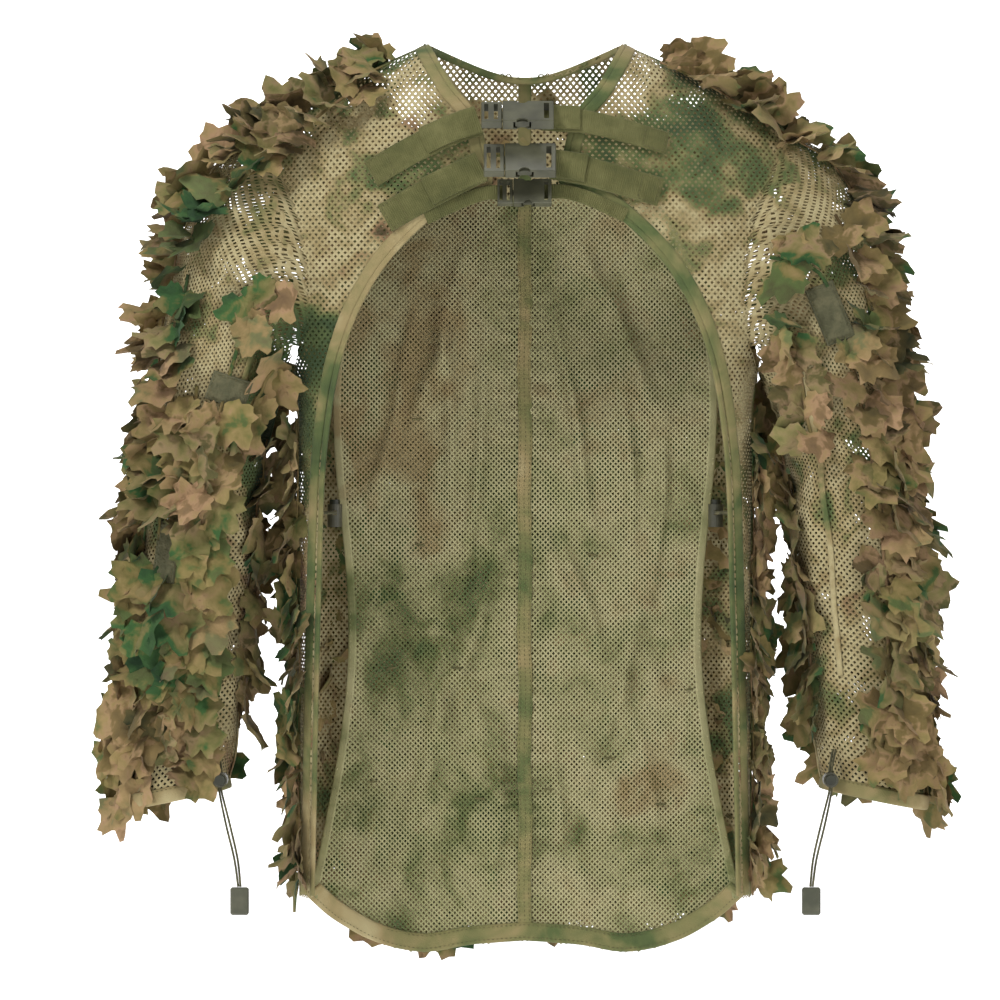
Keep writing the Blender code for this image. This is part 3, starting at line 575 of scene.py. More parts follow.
def flat_net(low, high, keep, pitch, row, hole, sink):
    """A staggered net between two corners of a flat plane, where keep(a, b) is true of a cell."""
    columns = 2 * int(math.ceil((high[0] - low[0]) / pitch))
    rows = int(math.ceil((high[1] - low[1]) / row))
    net = bmesh.new()
    bmesh.ops.create_grid(net, x_segments=columns, y_segments=rows, size=0.5)
    uprights = []
    for vert in net.verts:
        i, j = round((vert.co.x + 0.5) * columns), round((vert.co.y + 0.5) * rows)
        zigzag = row / 3.2 if (i + j) % 2 else -row / 3.2
        vert.co = (low[0] + i * pitch / 2, low[1] + j * row + zigzag, 0)
    for link in net.edges:
        one, other = link.verts
        if abs(one.co.x - other.co.x) < pitch * 0.1:
            i = round((one.co.x - low[0]) / (pitch / 2))
            lower = min(one.co.y, other.co.y)
            j = round((lower - row / 3.2 - low[1]) / row)
            if abs(lower - (low[1] + j * row + row / 3.2)) > row * 0.1 and 0 < i < columns:
                uprights.append(link)
    bmesh.ops.dissolve_edges(net, edges=uprights, use_verts=False)
    centres = np.array([face.calc_center_median()[:2] for face in net.faces])
    kept = keep(centres[:, 0], centres[:, 1])
    outside = [face for face, inside in zip(net.faces, kept) if not inside or len(face.verts) != 6]
    bmesh.ops.delete(net, geom=outside, context="FACES")
    cells = net.faces[:]
    bmesh.ops.inset_individual(net, faces=cells, thickness=pitch * 0.15, use_even_offset=True)
    for face in cells:
        middle = face.calc_center_median()
        for vert in face.verts:
            spoke = (vert.co - middle).normalized()
            vert.co = (middle.x + spoke.x * hole[0], middle.y + spoke.y * hole[1], -sink)
    bmesh.ops.delete(net, geom=cells, context="FACES_ONLY")
    return net


def lay_net(net, place):
    """Moves a flat net's corners to place(a, b, depth), read for all of them at once."""
    flat = np.array([vert.co for vert in net.verts])
    laid = place(flat[:, 0], flat[:, 1], flat[:, 2])
    for vert, spot in zip(net.verts, laid.tolist()):
        vert.co = spot
    return net


def inside(polygon, x, z):
    """Which points lie inside a closed (x, z) outline."""
    found = np.zeros(np.shape(x), bool)
    for (x0, z0), (x1, z1) in zip(polygon, np.roll(polygon, -1, axis=0)):
        if z0 != z1:
            crosses = (z0 > z) != (z1 > z)
            found ^= crosses & (x < (x1 - x0) * (z - z0) / (z1 - z0) + x0)
    return found


def round_the_body(surface, low_z, high_z):
    """Turns a distance round the body from its middle line into x, at any height."""
    heights = np.linspace(low_z, high_z, 160)
    turns = np.sin(np.linspace(0, math.pi / 2, 140))
    x = through(HALF_WIDTHS, heights)[:, None] * turns
    y = surface(x, heights[:, None] + 0 * x)
    steps = np.hypot(np.diff(x, axis=1), np.diff(y, axis=1))
    distance = np.concatenate([np.zeros((len(heights), 1)), np.cumsum(steps, 1)], 1)

    def x_at(a, z):
        at = np.clip((z - low_z) / (high_z - low_z), 0, 1) * (len(heights) - 1)
        below = np.minimum(at.astype(int), len(heights) - 2)
        found = np.empty(len(a))
        for k in np.unique(below):
            here = below == k
            share = at[here] - k
            lower, upper = (np.interp(a[here], distance[r], x[r]) for r in (k, k + 1))
            found[here] = lower * (1 - share) + upper * share
        return found

    return x_at


# %% Front, back and lining nets
front_outline = np.concatenate([front_inner, front_outer[::-1]])
neckline = along([(0.03, 0.0045), (0.086, 0.025)], np.linspace(0, 1, 8))
back_outline = np.concatenate([[(0, 0.004)], neckline, back_outer, hem_line(0.19, 40)[::-1]])
lining_outline = np.concatenate([[(0, LINING_TOP_Z)], lining_outer, hem_line(0.186, 40)[::-1]])
front_x = round_the_body(front_y, -0.735, 0.045)
back_x = round_the_body(back_y, -0.780, 0.045)


def covers_front(a, z):
    return inside(front_outline, front_x(a, z), z)


for side, sign in SIDES.items():

    def lay_front(a, z, depth):
        spot = front_cloth(front_x(a, z), z, sign)
        spot[:, 1] -= depth
        return spot * (sign, 1, 1)

    def lay_back(a, z, depth):
        spot = back_cloth(back_x(a, z), z, sign)
        spot[:, 1] += depth
        return spot * (sign, 1, 1)

    def lay_lining(x, z, depth):
        spot = lining_cloth(x * sign, z)
        spot[:, 1] -= depth
        return spot

    net = flat_net((0.02, -0.720), (0.31, 0.03), covers_front, **COARSE)
    sum(face.calc_area() for face in net.faces)
    lay_net(net, lay_front)
    face_out(net, lambda c: (0, -1, 0))
    add_piece(f"front_net_{side}", net, coarse_finish, f"front_panel_{side}")

    net = flat_net((0, -0.775), (0.30, 0.04), lambda a, z: inside(back_outline, back_x(a, z), z), **COARSE)
    sum(face.calc_area() for face in net.faces)
    lay_net(net, lay_back)
    face_out(net, lambda c: (0, 1, 0))
    add_piece(f"back_net_{side}", net, coarse_finish, f"back_panel_{side}")

    net = flat_net((0, -0.775), (0.20, LINING_TOP_Z), lambda x, z: inside(lining_outline, x, z), **FINE)
    sum(face.calc_area() for face in net.faces)
    lay_net(net, lay_lining)
    face_out(net, lambda c: (0, -1, 0))
    add_piece(f"lining_net_{side}", net, lining_finish, f"lining_{side}")

# %% [markdown]
# A sleeve is cut as a tapering piece and sewn along its inner line. The net is laid the same
# way: flat and evenly spaced, cut to the taper, then wrapped round the sleeve.

# %% Sleeve nets
SLEEVE_TUCK = 0.045
table_u, table_angle = np.linspace(0, 1, 161), np.linspace(-math.pi, math.pi, 49)
lines, _ = ring_place(SLEEVE_RINGS, *np.meshgrid(table_u, table_angle), np.zeros((49, 161)))
steps = np.linalg.norm(np.diff(lines, axis=1), axis=2)[:, ::-1]
from_cuff = np.concatenate([np.zeros((49, 1)), np.cumsum(steps, axis=1)], axis=1)


def across_lines(values, angle):
    """Reads a value given for every table angle at each point's own angle."""
    row = np.clip((angle + math.pi) / (2 * math.pi) * 48, 0, 47.999)
    low = row.astype(int)
    here = np.arange(len(angle))
    return values[low, here] * (low + 1 - row) + values[low + 1, here] * (row - low)


def on_sleeve(a, b):
    """Angle, share of the sleeve and the length past its top, for a place on the flat net."""
    a, b = np.asarray(a, float).ravel(), np.asarray(b, float).ravel()
    every = np.stack([np.interp(b, line, table_u[::-1]) for line in from_cuff])
    ends = np.repeat(from_cuff[:, -1:], len(b), axis=1)
    angle = a / sleeve_radius(np.clip(1 - b / SLEEVE_RUN, 0, 1))
    for _ in range(2):
        angle = a / sleeve_radius(across_lines(every, np.clip(angle, -math.pi, math.pi)))
    held = np.clip(angle, -math.pi, math.pi)
    return angle, across_lines(every, held), b - across_lines(ends, held)


def covers_sleeve(a, b):
    angle, _, past = on_sleeve(a, b)
    tucked = (past < SLEEVE_TUCK) & (np.abs(angle) < 0.72 * math.pi)
    return ((np.abs(angle) < math.pi) & ((past < 0) | tucked)).reshape(np.shape(a))


for side, sign in SIDES.items():

    def wrap(a, b, depth):
        angle, u, past = on_sleeve(a, b)
        spot, _ = sleeve_cloth(u, angle, sign, depth)
        tuck = np.maximum(past, 0)
        spot[:, 0] -= tuck * 0.97
        spot[:, 1] += np.minimum(tuck * 0.25, 0.005) * np.sign(np.sin(angle))
        return spot * (sign, 1, 1)

    widest = math.pi * float(sleeve_radius(0.0))
    far_corner = (widest + 0.006, from_cuff.max() + SLEEVE_TUCK)
    net = flat_net((-widest - 0.006, 0.0), far_corner, covers_sleeve, **COARSE)
    sum(face.calc_area() for face in net.faces)
    lay_net(net, wrap)
    face_out(net, lambda c: (c.x - 0.29 * sign, c.y - MIDDLE_Y, 0))
    made = add_piece(f"sleeve_net_{side}", net, coarse_finish, f"sleeve_{side}")

# %% [markdown]
# ## Bindings, tapes and webbing
#
# All of these are narrow bands. A grid is rolled into a flattened tube along a path, with its
# edges rounded, and the ends are closed. Webbing gets ribs across it as real relief, because
# its weave is coarse enough to see.

# %% Band maker


def smooth_way(points, count):
    """A path of evenly spaced points through the given ones."""
    fine = along(points, np.linspace(0, 1, count * 4))
    steps = np.linalg.norm(np.diff(fine, axis=0), axis=1)
    distance = np.concatenate([[0], np.cumsum(steps)])
    even = np.linspace(0, distance[-1], count)
    return np.stack([np.interp(even, distance, axis) for axis in fine.T], -1)


def band(path, out, width, thickness, around=10, rib=None, squareness=0.45, shape=None):
    """A flat band along a path; out is the way its face looks at each point."""
    path, out = np.asarray(path, float), np.asarray(out, float)
    ahead = np.gradient(path, axis=0)
    ahead /= np.linalg.norm(ahead, axis=1, keepdims=True)
    out = out - ahead * (out * ahead).sum(1, keepdims=True)
    out /= np.linalg.norm(out, axis=1, keepdims=True)
    across = np.cross(ahead, out)
    width = np.broadcast_to(np.asarray(width, float), len(path))
    angle = np.linspace(0, 2 * math.pi, around, endpoint=False)
    flat = np.sign(np.cos(angle)) * np.abs(np.cos(angle)) ** squareness
    thick = np.sign(np.sin(angle)) * np.abs(np.sin(angle)) ** 0.6
    swell = np.zeros(len(path))
    if rib:
        run = np.concatenate([[0], np.cumsum(np.linalg.norm(np.diff(path, axis=0), axis=1))])
        swell = rib[1] * np.sin(2 * math.pi * run / rib[0])
    spots = (
        path[:, None]
        + across[:, None] * (flat[None, :, None] * width[:, None, None] / 2)
        + out[:, None] * (thick[None, :] * (thickness / 2 + swell[:, None]))[..., None]
    )
    grid = bmesh.new()
    made = bmesh.ops.create_grid(grid, x_segments=len(path) - 1, y_segments=around, size=0.5)
    for vert in made["verts"]:
        i, j = round((vert.co.x + 0.5) * (len(path) - 1)), round((vert.co.y + 0.5) * around)
        vert.co = spots[i, j % around].tolist()
    bmesh.ops.remove_doubles(grid, verts=grid.verts[:], dist=1e-6)
    bmesh.ops.holes_fill(grid, edges=[link for link in grid.edges if link.is_boundary], sides=0)
    bmesh.ops.recalc_face_normals(grid, faces=grid.faces[:])
    if shape is None:
        return grid
    mesh = bpy.data.meshes.new("part")
    grid.to_mesh(mesh)
    grid.free()
    shape.from_mesh(mesh)
    bpy.data.meshes.remove(mesh)
    return shape


def outward(surface, points, step=0.002):
    """The way a (x, z) surface looks, towards -Y, at points on it."""
    x, z = points[:, 0], points[:, -1]
    slope_x = (surface(x + step, z)[:, 1] - surface(x - step, z)[:, 1]) / (2 * step)
    slope_z = (surface(x, z + step)[:, 1] - surface(x, z - step)[:, 1]) / (2 * step)
    found = np.stack([slope_x, -np.ones_like(x), slope_z], -1)
    return found / np.linalg.norm(found, axis=1, keepdims=True)


# %% Stitches
STITCH_LENGTH, STITCH_WIDTH = 0.0026, 0.0007
THREAD_COLOURS = [(0, srgb(70, 70, 44)), (0.5, srgb(96, 92, 60)), (1, srgb(120, 112, 76))]
thread_finish = cloth_finish("thread", THREAD_COLOURS, 0.02, weave=0.0003)


def copies_of(kinds, picks, places):
    """One mesh of many placed copies; the kinds all have the same faces in the same order."""
    faces = [list(face.vertices) for face in kinds[0].polygons]
    counts = np.array([len(face) for face in faces])
    corners = np.concatenate(faces)
    spots = []
    for kind in kinds:
        flat = np.empty(len(kind.vertices) * 3)
        kind.vertices.foreach_get("co", flat)
        spots.append(flat.reshape(-1, 3))
    spots = np.array(spots)[np.array(picks)]
    places = np.array([np.array(place) for place in places])
    spots = np.einsum("nij,nkj->nki", places[:, :3, :3], spots) + places[:, None, :3, 3]
    total, size = len(places), spots.shape[1]
    mesh = bpy.data.meshes.new("copies")
    mesh.vertices.add(total * size)
    mesh.vertices.foreach_set("co", spots.ravel())
    mesh.loops.add(total * len(corners))
    mesh.loops.foreach_set("vertex_index", (corners[None] + np.arange(total)[:, None] * size).ravel())
    mesh.polygons.add(total * len(counts))
    starts = np.concatenate([[0], np.cumsum(counts)[:-1]])
    mesh.polygons.foreach_set("loop_start", (starts[None] + np.arange(total)[:, None] * len(corners)).ravel())
    mesh.update(calc_edges=True)
    return mesh


one_stitch = bmesh.new()
bmesh.ops.create_uvsphere(one_stitch, u_segments=6, v_segments=3, radius=0.5)
bmesh.ops.scale(one_stitch, vec=(STITCH_LENGTH, STITCH_WIDTH, STITCH_WIDTH * 0.8), verts=one_stitch.verts)
stitch_kind = bpy.data.meshes.new("stitch")
one_stitch.to_mesh(stitch_kind)
one_stitch.free()
stitches = []


def sew(path, out, gap=0.0014):
    """Notes the places of a line of short stitches along a path."""
    path = np.asarray(path, float)
    steps = np.concatenate([[0], np.cumsum(np.linalg.norm(np.diff(path, axis=0), axis=1))])
    for at in np.arange(STITCH_LENGTH, steps[-1] - STITCH_LENGTH / 2, STITCH_LENGTH + gap):
        here, there = (Vector([np.interp(at + d, steps, a) for a in path.T]) for d in (0, 1e-3))
        way = Vector([np.interp(at, steps, a) for a in np.asarray(out, float).T])
        forward = (there - here).normalized()
        up = (way - forward * way.dot(forward)).normalized()
        turned = Matrix((forward, up.cross(forward), up)).transposed().to_4x4()
        turned.translation = here
        stitches.append(turned)


# %% [markdown]
# The arch has a narrow folded edge with a wider casing beside it, and the neck is bound with
# folded tape. Strips of printed tape cover the side seams, the shoulder seams and the middle
# of the back, as flat-felled seams do on a real jacket.

# %% Bindings and seams
BINDING_WIDTH, BINDING_THICKNESS = 0.0050, 0.0030
SEAM_WIDTH, SEAM_THICKNESS = 0.0090, 0.0016


def mirrored(points, sign):
    return np.asarray(points) * (sign, 1, 1)


for side, sign in SIDES.items():
    rows = smooth_way(front_inner, 320)
    path = front_cloth(rows[:, 0], rows[:, 1], sign)
    out = outward(lambda x, z: front_cloth(x, z, sign), path)
    binding = band(mirrored(path, sign), mirrored(out, sign), BINDING_WIDTH, BINDING_THICKNESS)
    way = np.gradient(rows, axis=0)
    aside = np.stack([-way[:, 1], way[:, 0]], 1) / np.linalg.norm(way, axis=1, keepdims=True)
    rows_out = rows + aside * np.sign(np.mean(aside[:, 0])) * 0.0068
    casing = front_cloth(rows_out[:, 0], rows_out[:, 1], sign)
    band(mirrored(casing, sign), mirrored(out, sign), 0.0100, 0.0034, shape=binding)
    inner_line = path - out * 0.0022
    inner_line[:, 0] += 0.0022
    add_piece(f"arch_binding_{side}", binding, tape_finish, f"front_binding_{side}")
    sew(mirrored(inner_line, sign), mirrored(-out, sign))

    seams = bmesh.new()
    below = front_outer[front_outer[:, 1] < UNDERARM_Z + 0.002]
    rows = smooth_way(below, 120)
    side_line = np.stack([through(HALF_WIDTHS, rows[:, 1]) + 0.0006, np.full(120, MIDDLE_Y), rows[:, 1]], 1)
    band(mirrored(side_line, sign), np.tile((sign, 0, 0), (120, 1)), SEAM_WIDTH, SEAM_THICKNESS, shape=seams)
    ridge_points = [(0.086, 0.025), (0.128, 0.006), (0.195, -0.028), (SHOULDER_HALF_WIDTH, -0.052)]
    ridge = along(ridge_points, np.linspace(0, 1, 60))
    top = np.stack([ridge[:, 0], np.full(60, MIDDLE_Y), ridge[:, 1] + 0.0008], 1)
    band(mirrored(top, sign), np.tile((0, 0, 1), (60, 1)), SEAM_WIDTH, SEAM_THICKNESS, shape=seams)
    heights = np.linspace(0.001, -BODY_LENGTH + 0.006, 200)
    spine = back_cloth(np.full(200, 0.0), heights)
    spine[:, 0] = 0.0022
    band(mirrored(spine, sign), np.tile((0, 1, 0), (200, 1)), 0.0075, 0.0016, shape=seams)
    add_piece(f"shell_seams_{side}", seams, edge_finish)

neck_points = [(0.086, 0.025), (0.03, 0.0045), (0.0, 0.0), (-0.03, 0.0045), (-0.086, 0.025)]
neck = along(neck_points, np.linspace(0, 1, 120))
neck = np.stack([neck[:, 0], back_y(neck[:, 0], neck[:, 1]), neck[:, 1]], 1)
collar = band(neck, np.tile((0, -1, 0.3), (120, 1)), 0.0070, 0.0030)
add_piece("neck_binding", collar, edge_finish, "collar_binding")
print("bindings and seams made")

# %% Middle seam of the lining, its side hems and the hem band
TAPE_WIDTH, HEM_BAND_HEIGHT = 0.0122, 0.0165
z = np.linspace(LINING_TOP_Z, -BODY_LENGTH + 0.004, 420)
middle = lining_cloth(np.zeros(420), z)
middle[:, 1] -= 0.0008 + 0.0007 * np.sin(z * 300 + 2 * np.sin(z * 70))
middle[:, 0] += 0.0007 * np.sin(z * 55)
facing = np.tile((0, -1, 0), (420, 1))
tape = band(middle, facing, TAPE_WIDTH + 0.0006 * np.sin(z * 190), 0.0018, around=12)
add_piece("lining_seam_tape", tape, tape_finish, "centre_seam_tape")
for shift in (-0.0042, 0.0, 0.0042):
    sew(middle + (shift, -0.0010, 0), facing)

for side, sign in SIDES.items():
    rows = smooth_way(lining_outer, 300)
    path = lining_cloth(rows[:, 0] * sign, rows[:, 1])
    out = np.tile((0.25 * sign, -1, 0), (300, 1))
    add_piece(f"lining_side_hem_{side}", band(path, out, 0.0072, 0.0020), lining_finish)
    sew(path + (-0.0018 * sign, -0.0012, 0), out)

rows = hem_line(0.186, 200)
rows = np.concatenate([rows[::-1] * (-1, 1), rows[1:]])
hem = lining_cloth(rows[:, 0], rows[:, 1] + 0.0075)
hem[:, 1] -= 0.0012 + 0.0009 * np.sin(rows[:, 0] * 260) * np.sin(rows[:, 0] * 37)
facing = np.tile((0, -1, 0.0), (len(rows), 1))
hem_made = band(hem, facing, HEM_BAND_HEIGHT, 0.0046, around=14)
add_piece("lining_hem_band", hem_made, tape_finish, "hem_band")
sew(hem + (0, -0.0026, 0.0062), facing)
sew(hem + (0, -0.0026, -0.0050), facing)

# Short bar tacks hold the lining to the shell.
BAR_TACKS = [
    (-0.093, -0.411, 10), (-0.118, -0.520, -12), (-0.040, -0.636, 4), (0.022, -0.628, 0), (0.145, -0.538, -8),
    (-0.095, -0.300, 0), (0.060, -0.420, 10), (0.098, -0.330, -6), (-0.060, -0.520, 6), (0.075, -0.600, 0),
    (-0.135, -0.620, 0), (0.120, -0.640, 4),
]
tacks = bmesh.new()
for x, z_at, tilt in BAR_TACKS:
    at = Vector(lining_cloth(np.array([x]), np.array([z_at]))[0]) + Vector((0, -0.0012, 0))
    turned = Matrix.Translation(at) @ Matrix.Rotation(math.radians(tilt), 4, "Y")
    turned = turned @ Matrix.Diagonal((0.0095, 0.0012, 0.0016, 1))
    made = bmesh.ops.create_cube(tacks, size=1.0, matrix=turned)
    sides = list({link for vert in made["verts"] for link in vert.link_edges})
    bmesh.ops.bevel(tacks, geom=sides, offset=0.0004, affect="EDGES", segments=2, profile=0.5, material=-1)
add_piece("lining_bar_tacks", tacks, thread_finish)
print("tape, hems, hem band and", len(BAR_TACKS), "bar tacks")

# %% [markdown]
# Ribbed webbing runs from each half of a buckle to the yoke. Each strap is doubled where it
# passes through the buckle and folds back on itself, and a boxed stitch holds its outer end.

# %% Straps
WEBBING_WIDTH, WEBBING_THICKNESS = 0.0250, 0.0021
WEAVE = {"around": 12, "rib": (0.0018, 0.00034), "squareness": 0.25}
WEBBING_COLOURS = [(0, srgb(76, 78, 44)), (0.5, srgb(92, 92, 54)), (1, srgb(110, 108, 68))]
webbing_finish = cloth_finish("webbing_weave", WEBBING_COLOURS, 0.03, weave=0.0005)
STRAPS = {  # (x, z) from the buckle outwards, width, stand-off at each end, tail's share of the length
    "upper_strap_left": (
        -1,
        [(0.040, -0.046), (0.062, -0.054), (0.098, -0.071), (0.133, -0.091)],
        WEBBING_WIDTH, 0.0068, 0.0034, 0.50,
    ),
    "upper_strap_right": (
        1,
        [(0.014, -0.044), (0.030, -0.045), (0.055, -0.047), (0.088, -0.055), (0.122, -0.0645)],
        0.0215, 0.0072, 0.0034, 0.30,
    ),
    "lower_strap_left": (
        -1,
        [(0.038, -0.086), (0.058, -0.096), (0.088, -0.111), (0.121, -0.1295)],
        0.0260, 0.0072, 0.0034, 0.55,
    ),
    "lower_strap_right": (
        1,
        [(0.022, -0.084), (0.040, -0.087), (0.055, -0.090), (0.084, -0.098), (0.116, -0.1070)],
        WEBBING_WIDTH, 0.0078, 0.0034, 0.32,
    ),
    "small_strap_left": (
        -1,
        [(0.018, -0.108), (0.034, -0.108), (0.055, -0.115), (0.086, -0.129)],
        0.0125, 0.0060, 0.0030, 0.0,
    ),
    "small_strap_right": (
        1,
        [(0.016, -0.107), (0.034, -0.107), (0.055, -0.113), (0.086, -0.127)],
        0.0125, 0.0060, 0.0030, 0.0,
    ),
}
for name, (sign, points, width, near, far, tail) in STRAPS.items():
    rows = smooth_way(points, 220)
    share = np.linspace(0, 1, 220)
    path = front_cloth(rows[:, 0], rows[:, 1], sign)
    out = outward(lambda x, z: front_cloth(x, z, sign), path)
    reach = near + (far - near) * share
    path = np.stack([rows[:, 0], front_y(rows[:, 0], rows[:, 1]) - reach, rows[:, 1]], 1)
    strap = band(mirrored(path, sign), mirrored(out, sign), width, WEBBING_THICKNESS, **WEAVE)
    if tail:
        end = int(220 * tail)
        over = path[:end] + out[:end] * 0.0030
        over[:, 2] += 0.0010 + 0.0012 * share[:end] / tail
        over[-14:] -= out[end - 14 : end] * np.linspace(0, 0.0008, 14)[:, None]
        folded, facing = mirrored(over, sign), mirrored(out[:end], sign)
        band(folded, facing, width * 0.98, WEBBING_THICKNESS, **WEAVE, shape=strap)
    add_piece(f"{name}_webbing", strap, webbing_finish, name)
    if width > 0.02:
        forward = np.gradient(path, axis=0)
        down = np.cross(out, forward / np.linalg.norm(forward, axis=1, keepdims=True))
        face = path + out * (WEBBING_THICKNESS / 2 + 0.0004)
        for offset in (-0.42, 0.42):
            line = (face + down * (width * offset))[176:216]
            sew(mirrored(line, sign), mirrored(out[176:216], sign))
        for row in (178, 214):
            line = np.linspace(face[row] - down[row] * width * 0.42, face[row] + down[row] * width * 0.42, 8)
            sew(mirrored(line, sign), mirrored(np.tile(out[row], (8, 1)), sign))
print(len(STRAPS), "straps")

# %% [markdown]
# ## Cuffs
#
# Each cuff is a narrow hem with a drawcord in it. A dark sheet just inside the opening is painted shade.

# %% Cuffs and sleeve seams
# The nearly black sheet inside each cuff is painted shade: it darkens the opening where the inside of the
# sleeve lies in shade.
cuff_shade_finish = cloth_finish("cuff_painted_shade", [(0, srgb(30, 30, 22)), (1, srgb(52, 50, 36))], 0.05)
for side, sign in SIDES.items():
    around = np.linspace(0, 2 * math.pi, 121)
    spot, out = sleeve_cloth(np.full(121, 0.992), around, sign, 0.0005)
    hem_ring = band(mirrored(spot, sign), mirrored(out, sign), 0.0135, 0.0034)
    add_piece(f"cuff_hem_{side}", hem_ring, tape_finish, f"cuff_band_{side}")
    sew(mirrored(spot + out * 0.0019 + (0, 0, 0.0050), sign), mirrored(out, sign))

    # The painted shade sheet lines the last stretch of the sleeve, a little inside the net.
    cuff_shade_piece = bmesh.new()
    made = bmesh.ops.create_grid(cuff_shade_piece, x_segments=90, y_segments=8, size=0.5)
    turn_at = np.array([(vert.co.x + 0.5) * 2 * math.pi for vert in cuff_shade_piece.verts])
    deep = np.array([vert.co.y + 0.5 for vert in cuff_shade_piece.verts])
    inner, _ = sleeve_cloth(1.0 - 0.055 * deep, turn_at, sign, -0.0035 - 0.002 * deep)
    for vert, place in zip(cuff_shade_piece.verts, mirrored(inner, sign).tolist()):
        vert.co = place
    bmesh.ops.remove_doubles(cuff_shade_piece, verts=cuff_shade_piece.verts[:], dist=1e-5)
    face_out(cuff_shade_piece, lambda c: (0.306 * sign - c.x, MIDDLE_Y - c.y, 0))
    add_piece(f"cuff_painted_shade_{side}", cuff_shade_piece, cuff_shade_finish)

    seam = bmesh.new()
    for degrees, start, end, width in ((180, 0.03, 0.985, 0.0080), (118, 0.10, 0.80, 0.0055)):
        u = np.linspace(start, end, 240)
        spot, out = sleeve_cloth(u, np.full(240, math.radians(degrees)), sign, 0.0008)
        band(mirrored(spot, sign), mirrored(out, sign), width, 0.0016, around=8, shape=seam)
    add_piece(f"sleeve_seams_{side}", seam, coarse_finish)
print("cuffs made")

# %% [markdown]
# ## Leaves
#
# The leaves are cut from printed cloth with ragged lobes, and each is sewn down by its stem in
# rows. A leaf starts as a circle with one inset ring and a middle point. Its outline is pulled
# into lobes and notches, and it is folded along its middle and curled. Fourteen such leaves are
# enough: each copy is turned, scaled and tinted on its own. Leaves point away from their row
# to both sides and hang down a little, and their tips lift off the cloth. None is sewn near a
# sleeve patch.

# %% Leaf shapes
LEAF_POINTS, LEAF_KINDS = 30, 14
draw = random.Random(7)


def cut_leaf(draw):
    """One leaf about one unit long, its stem at the origin and its tip along +Y."""
    shape = bmesh.new()
    bmesh.ops.create_circle(shape, cap_ends=True, segments=LEAF_POINTS, radius=0.5)
    rim = shape.verts[:]
    middle = shape.faces[:]
    bmesh.ops.inset_individual(shape, faces=middle, thickness=0.2)
    inner = [vert for vert in shape.verts if vert not in rim]
    bmesh.ops.poke(shape, faces=middle)
    lobes = [90 + draw.uniform(-8, 8), 34 + draw.uniform(-10, 10), 146 + draw.uniform(-10, 10)]
    lobes += [-22 + draw.uniform(-10, 10), 202 + draw.uniform(-10, 10)]
    reach = [draw.uniform(0.50, 0.62), draw.uniform(0.46, 0.56), draw.uniform(0.46, 0.56)]
    reach += [draw.uniform(0.38, 0.48), draw.uniform(0.38, 0.48)]
    notch = draw.uniform(0.32, 0.40)
    tooth = draw.uniform(0.08, 0.17)
    bend, hollow, twist = draw.uniform(-0.6, 0.35), draw.uniform(-0.45, 0.45), draw.uniform(-0.35, 0.35)
    waves = [draw.uniform(0, 6) for _ in range(3)]
    for vert in shape.verts:
        angle = math.degrees(math.atan2(vert.co.y, vert.co.x))
        gaps = [abs((angle - lobe + 180) % 360 - 180) for lobe in lobes]
        nearest = min(range(5), key=gaps.__getitem__)
        share = min(1.0, gaps[nearest] / 28)
        radius = notch + (reach[nearest] - notch) * (1 - share**2.6)
        away = abs((angle + 90 + 180) % 360 - 180)
        radius *= 0.6 + 0.4 * min(1.0, away / 35)
        if vert in rim:
            radius *= 1 - tooth * (round(angle / 12) % 2) + draw.uniform(-0.06, 0.06)
            vert.co = (radius * math.cos(math.radians(angle)), radius * math.sin(math.radians(angle)), 0)
        elif vert in inner:
            calm = 0.62 * radius
            vert.co = (calm * math.cos(math.radians(angle)), calm * math.sin(math.radians(angle)), 0)
    for vert in shape.verts:
        x, y = vert.co.x, vert.co.y
        vert.co.z = hollow * abs(x) * 0.8 + bend * y * y + twist * x * y
        vert.co.z += 0.045 * math.sin(x * 11 + waves[0]) * math.sin(y * 9 + waves[1])
        vert.co.z += 0.02 * math.sin(x * 23 + waves[2])
        vert.co.y += 0.26
    mesh = bpy.data.meshes.new("leaf")
    shape.to_mesh(mesh)
    shape.free()
    return mesh


leaf_kinds = [cut_leaf(draw) for _ in range(LEAF_KINDS)]
print(LEAF_KINDS, "leaves of", len(leaf_kinds[0].polygons), "faces")

# %% Leaf finish
LEAF_TINTS = [
    (0.15, srgb(146, 126, 84)),
    (0.12, srgb(168, 136, 104)),
    (0.17, srgb(126, 114, 70)),
    (0.15, srgb(70, 96, 56)),
    (0.12, srgb(52, 74, 46)),
    (0.14, srgb(84, 72, 46)),
    (0.15, srgb(156, 144, 98)),
]
leaf_finish = bpy.data.materials.new("leaf_cloth_print")
leaf_finish.use_nodes = True
tree = leaf_finish.node_tree
shader = tree.nodes["Principled BSDF"]
tint = node(tree, "ShaderNodeAttribute", attribute_name="tint")
print_over = camouflage(
    tree,
    [
        (0, srgb(30, 54, 34)),
        (0.26, srgb(56, 92, 48)),
        (0.34, srgb(116, 108, 62)),
        (0.52, srgb(150, 130, 86)),
        (0.62, srgb(160, 130, 98)),
        (0.70, srgb(104, 86, 52)),
        (1, srgb(52, 44, 30)),
    ],
    0.050,
    place=(2, 7, 1),
    fine=0.3,
)
mixed = node(tree, "ShaderNodeMix", {0: 0.68, 6: tint.outputs["Color"], 7: print_over}, data_type="RGBA")
tree.links.new(mixed.outputs[2], shader.inputs["Base Color"])
shader.inputs["Roughness"].default_value = 0.9
shader.inputs["Specular IOR Level"].default_value = 0.2
shader.inputs["Sheen Weight"].default_value = 0.05
add_grain(tree, 320.0, 3.0, 0.0012, 0.5)

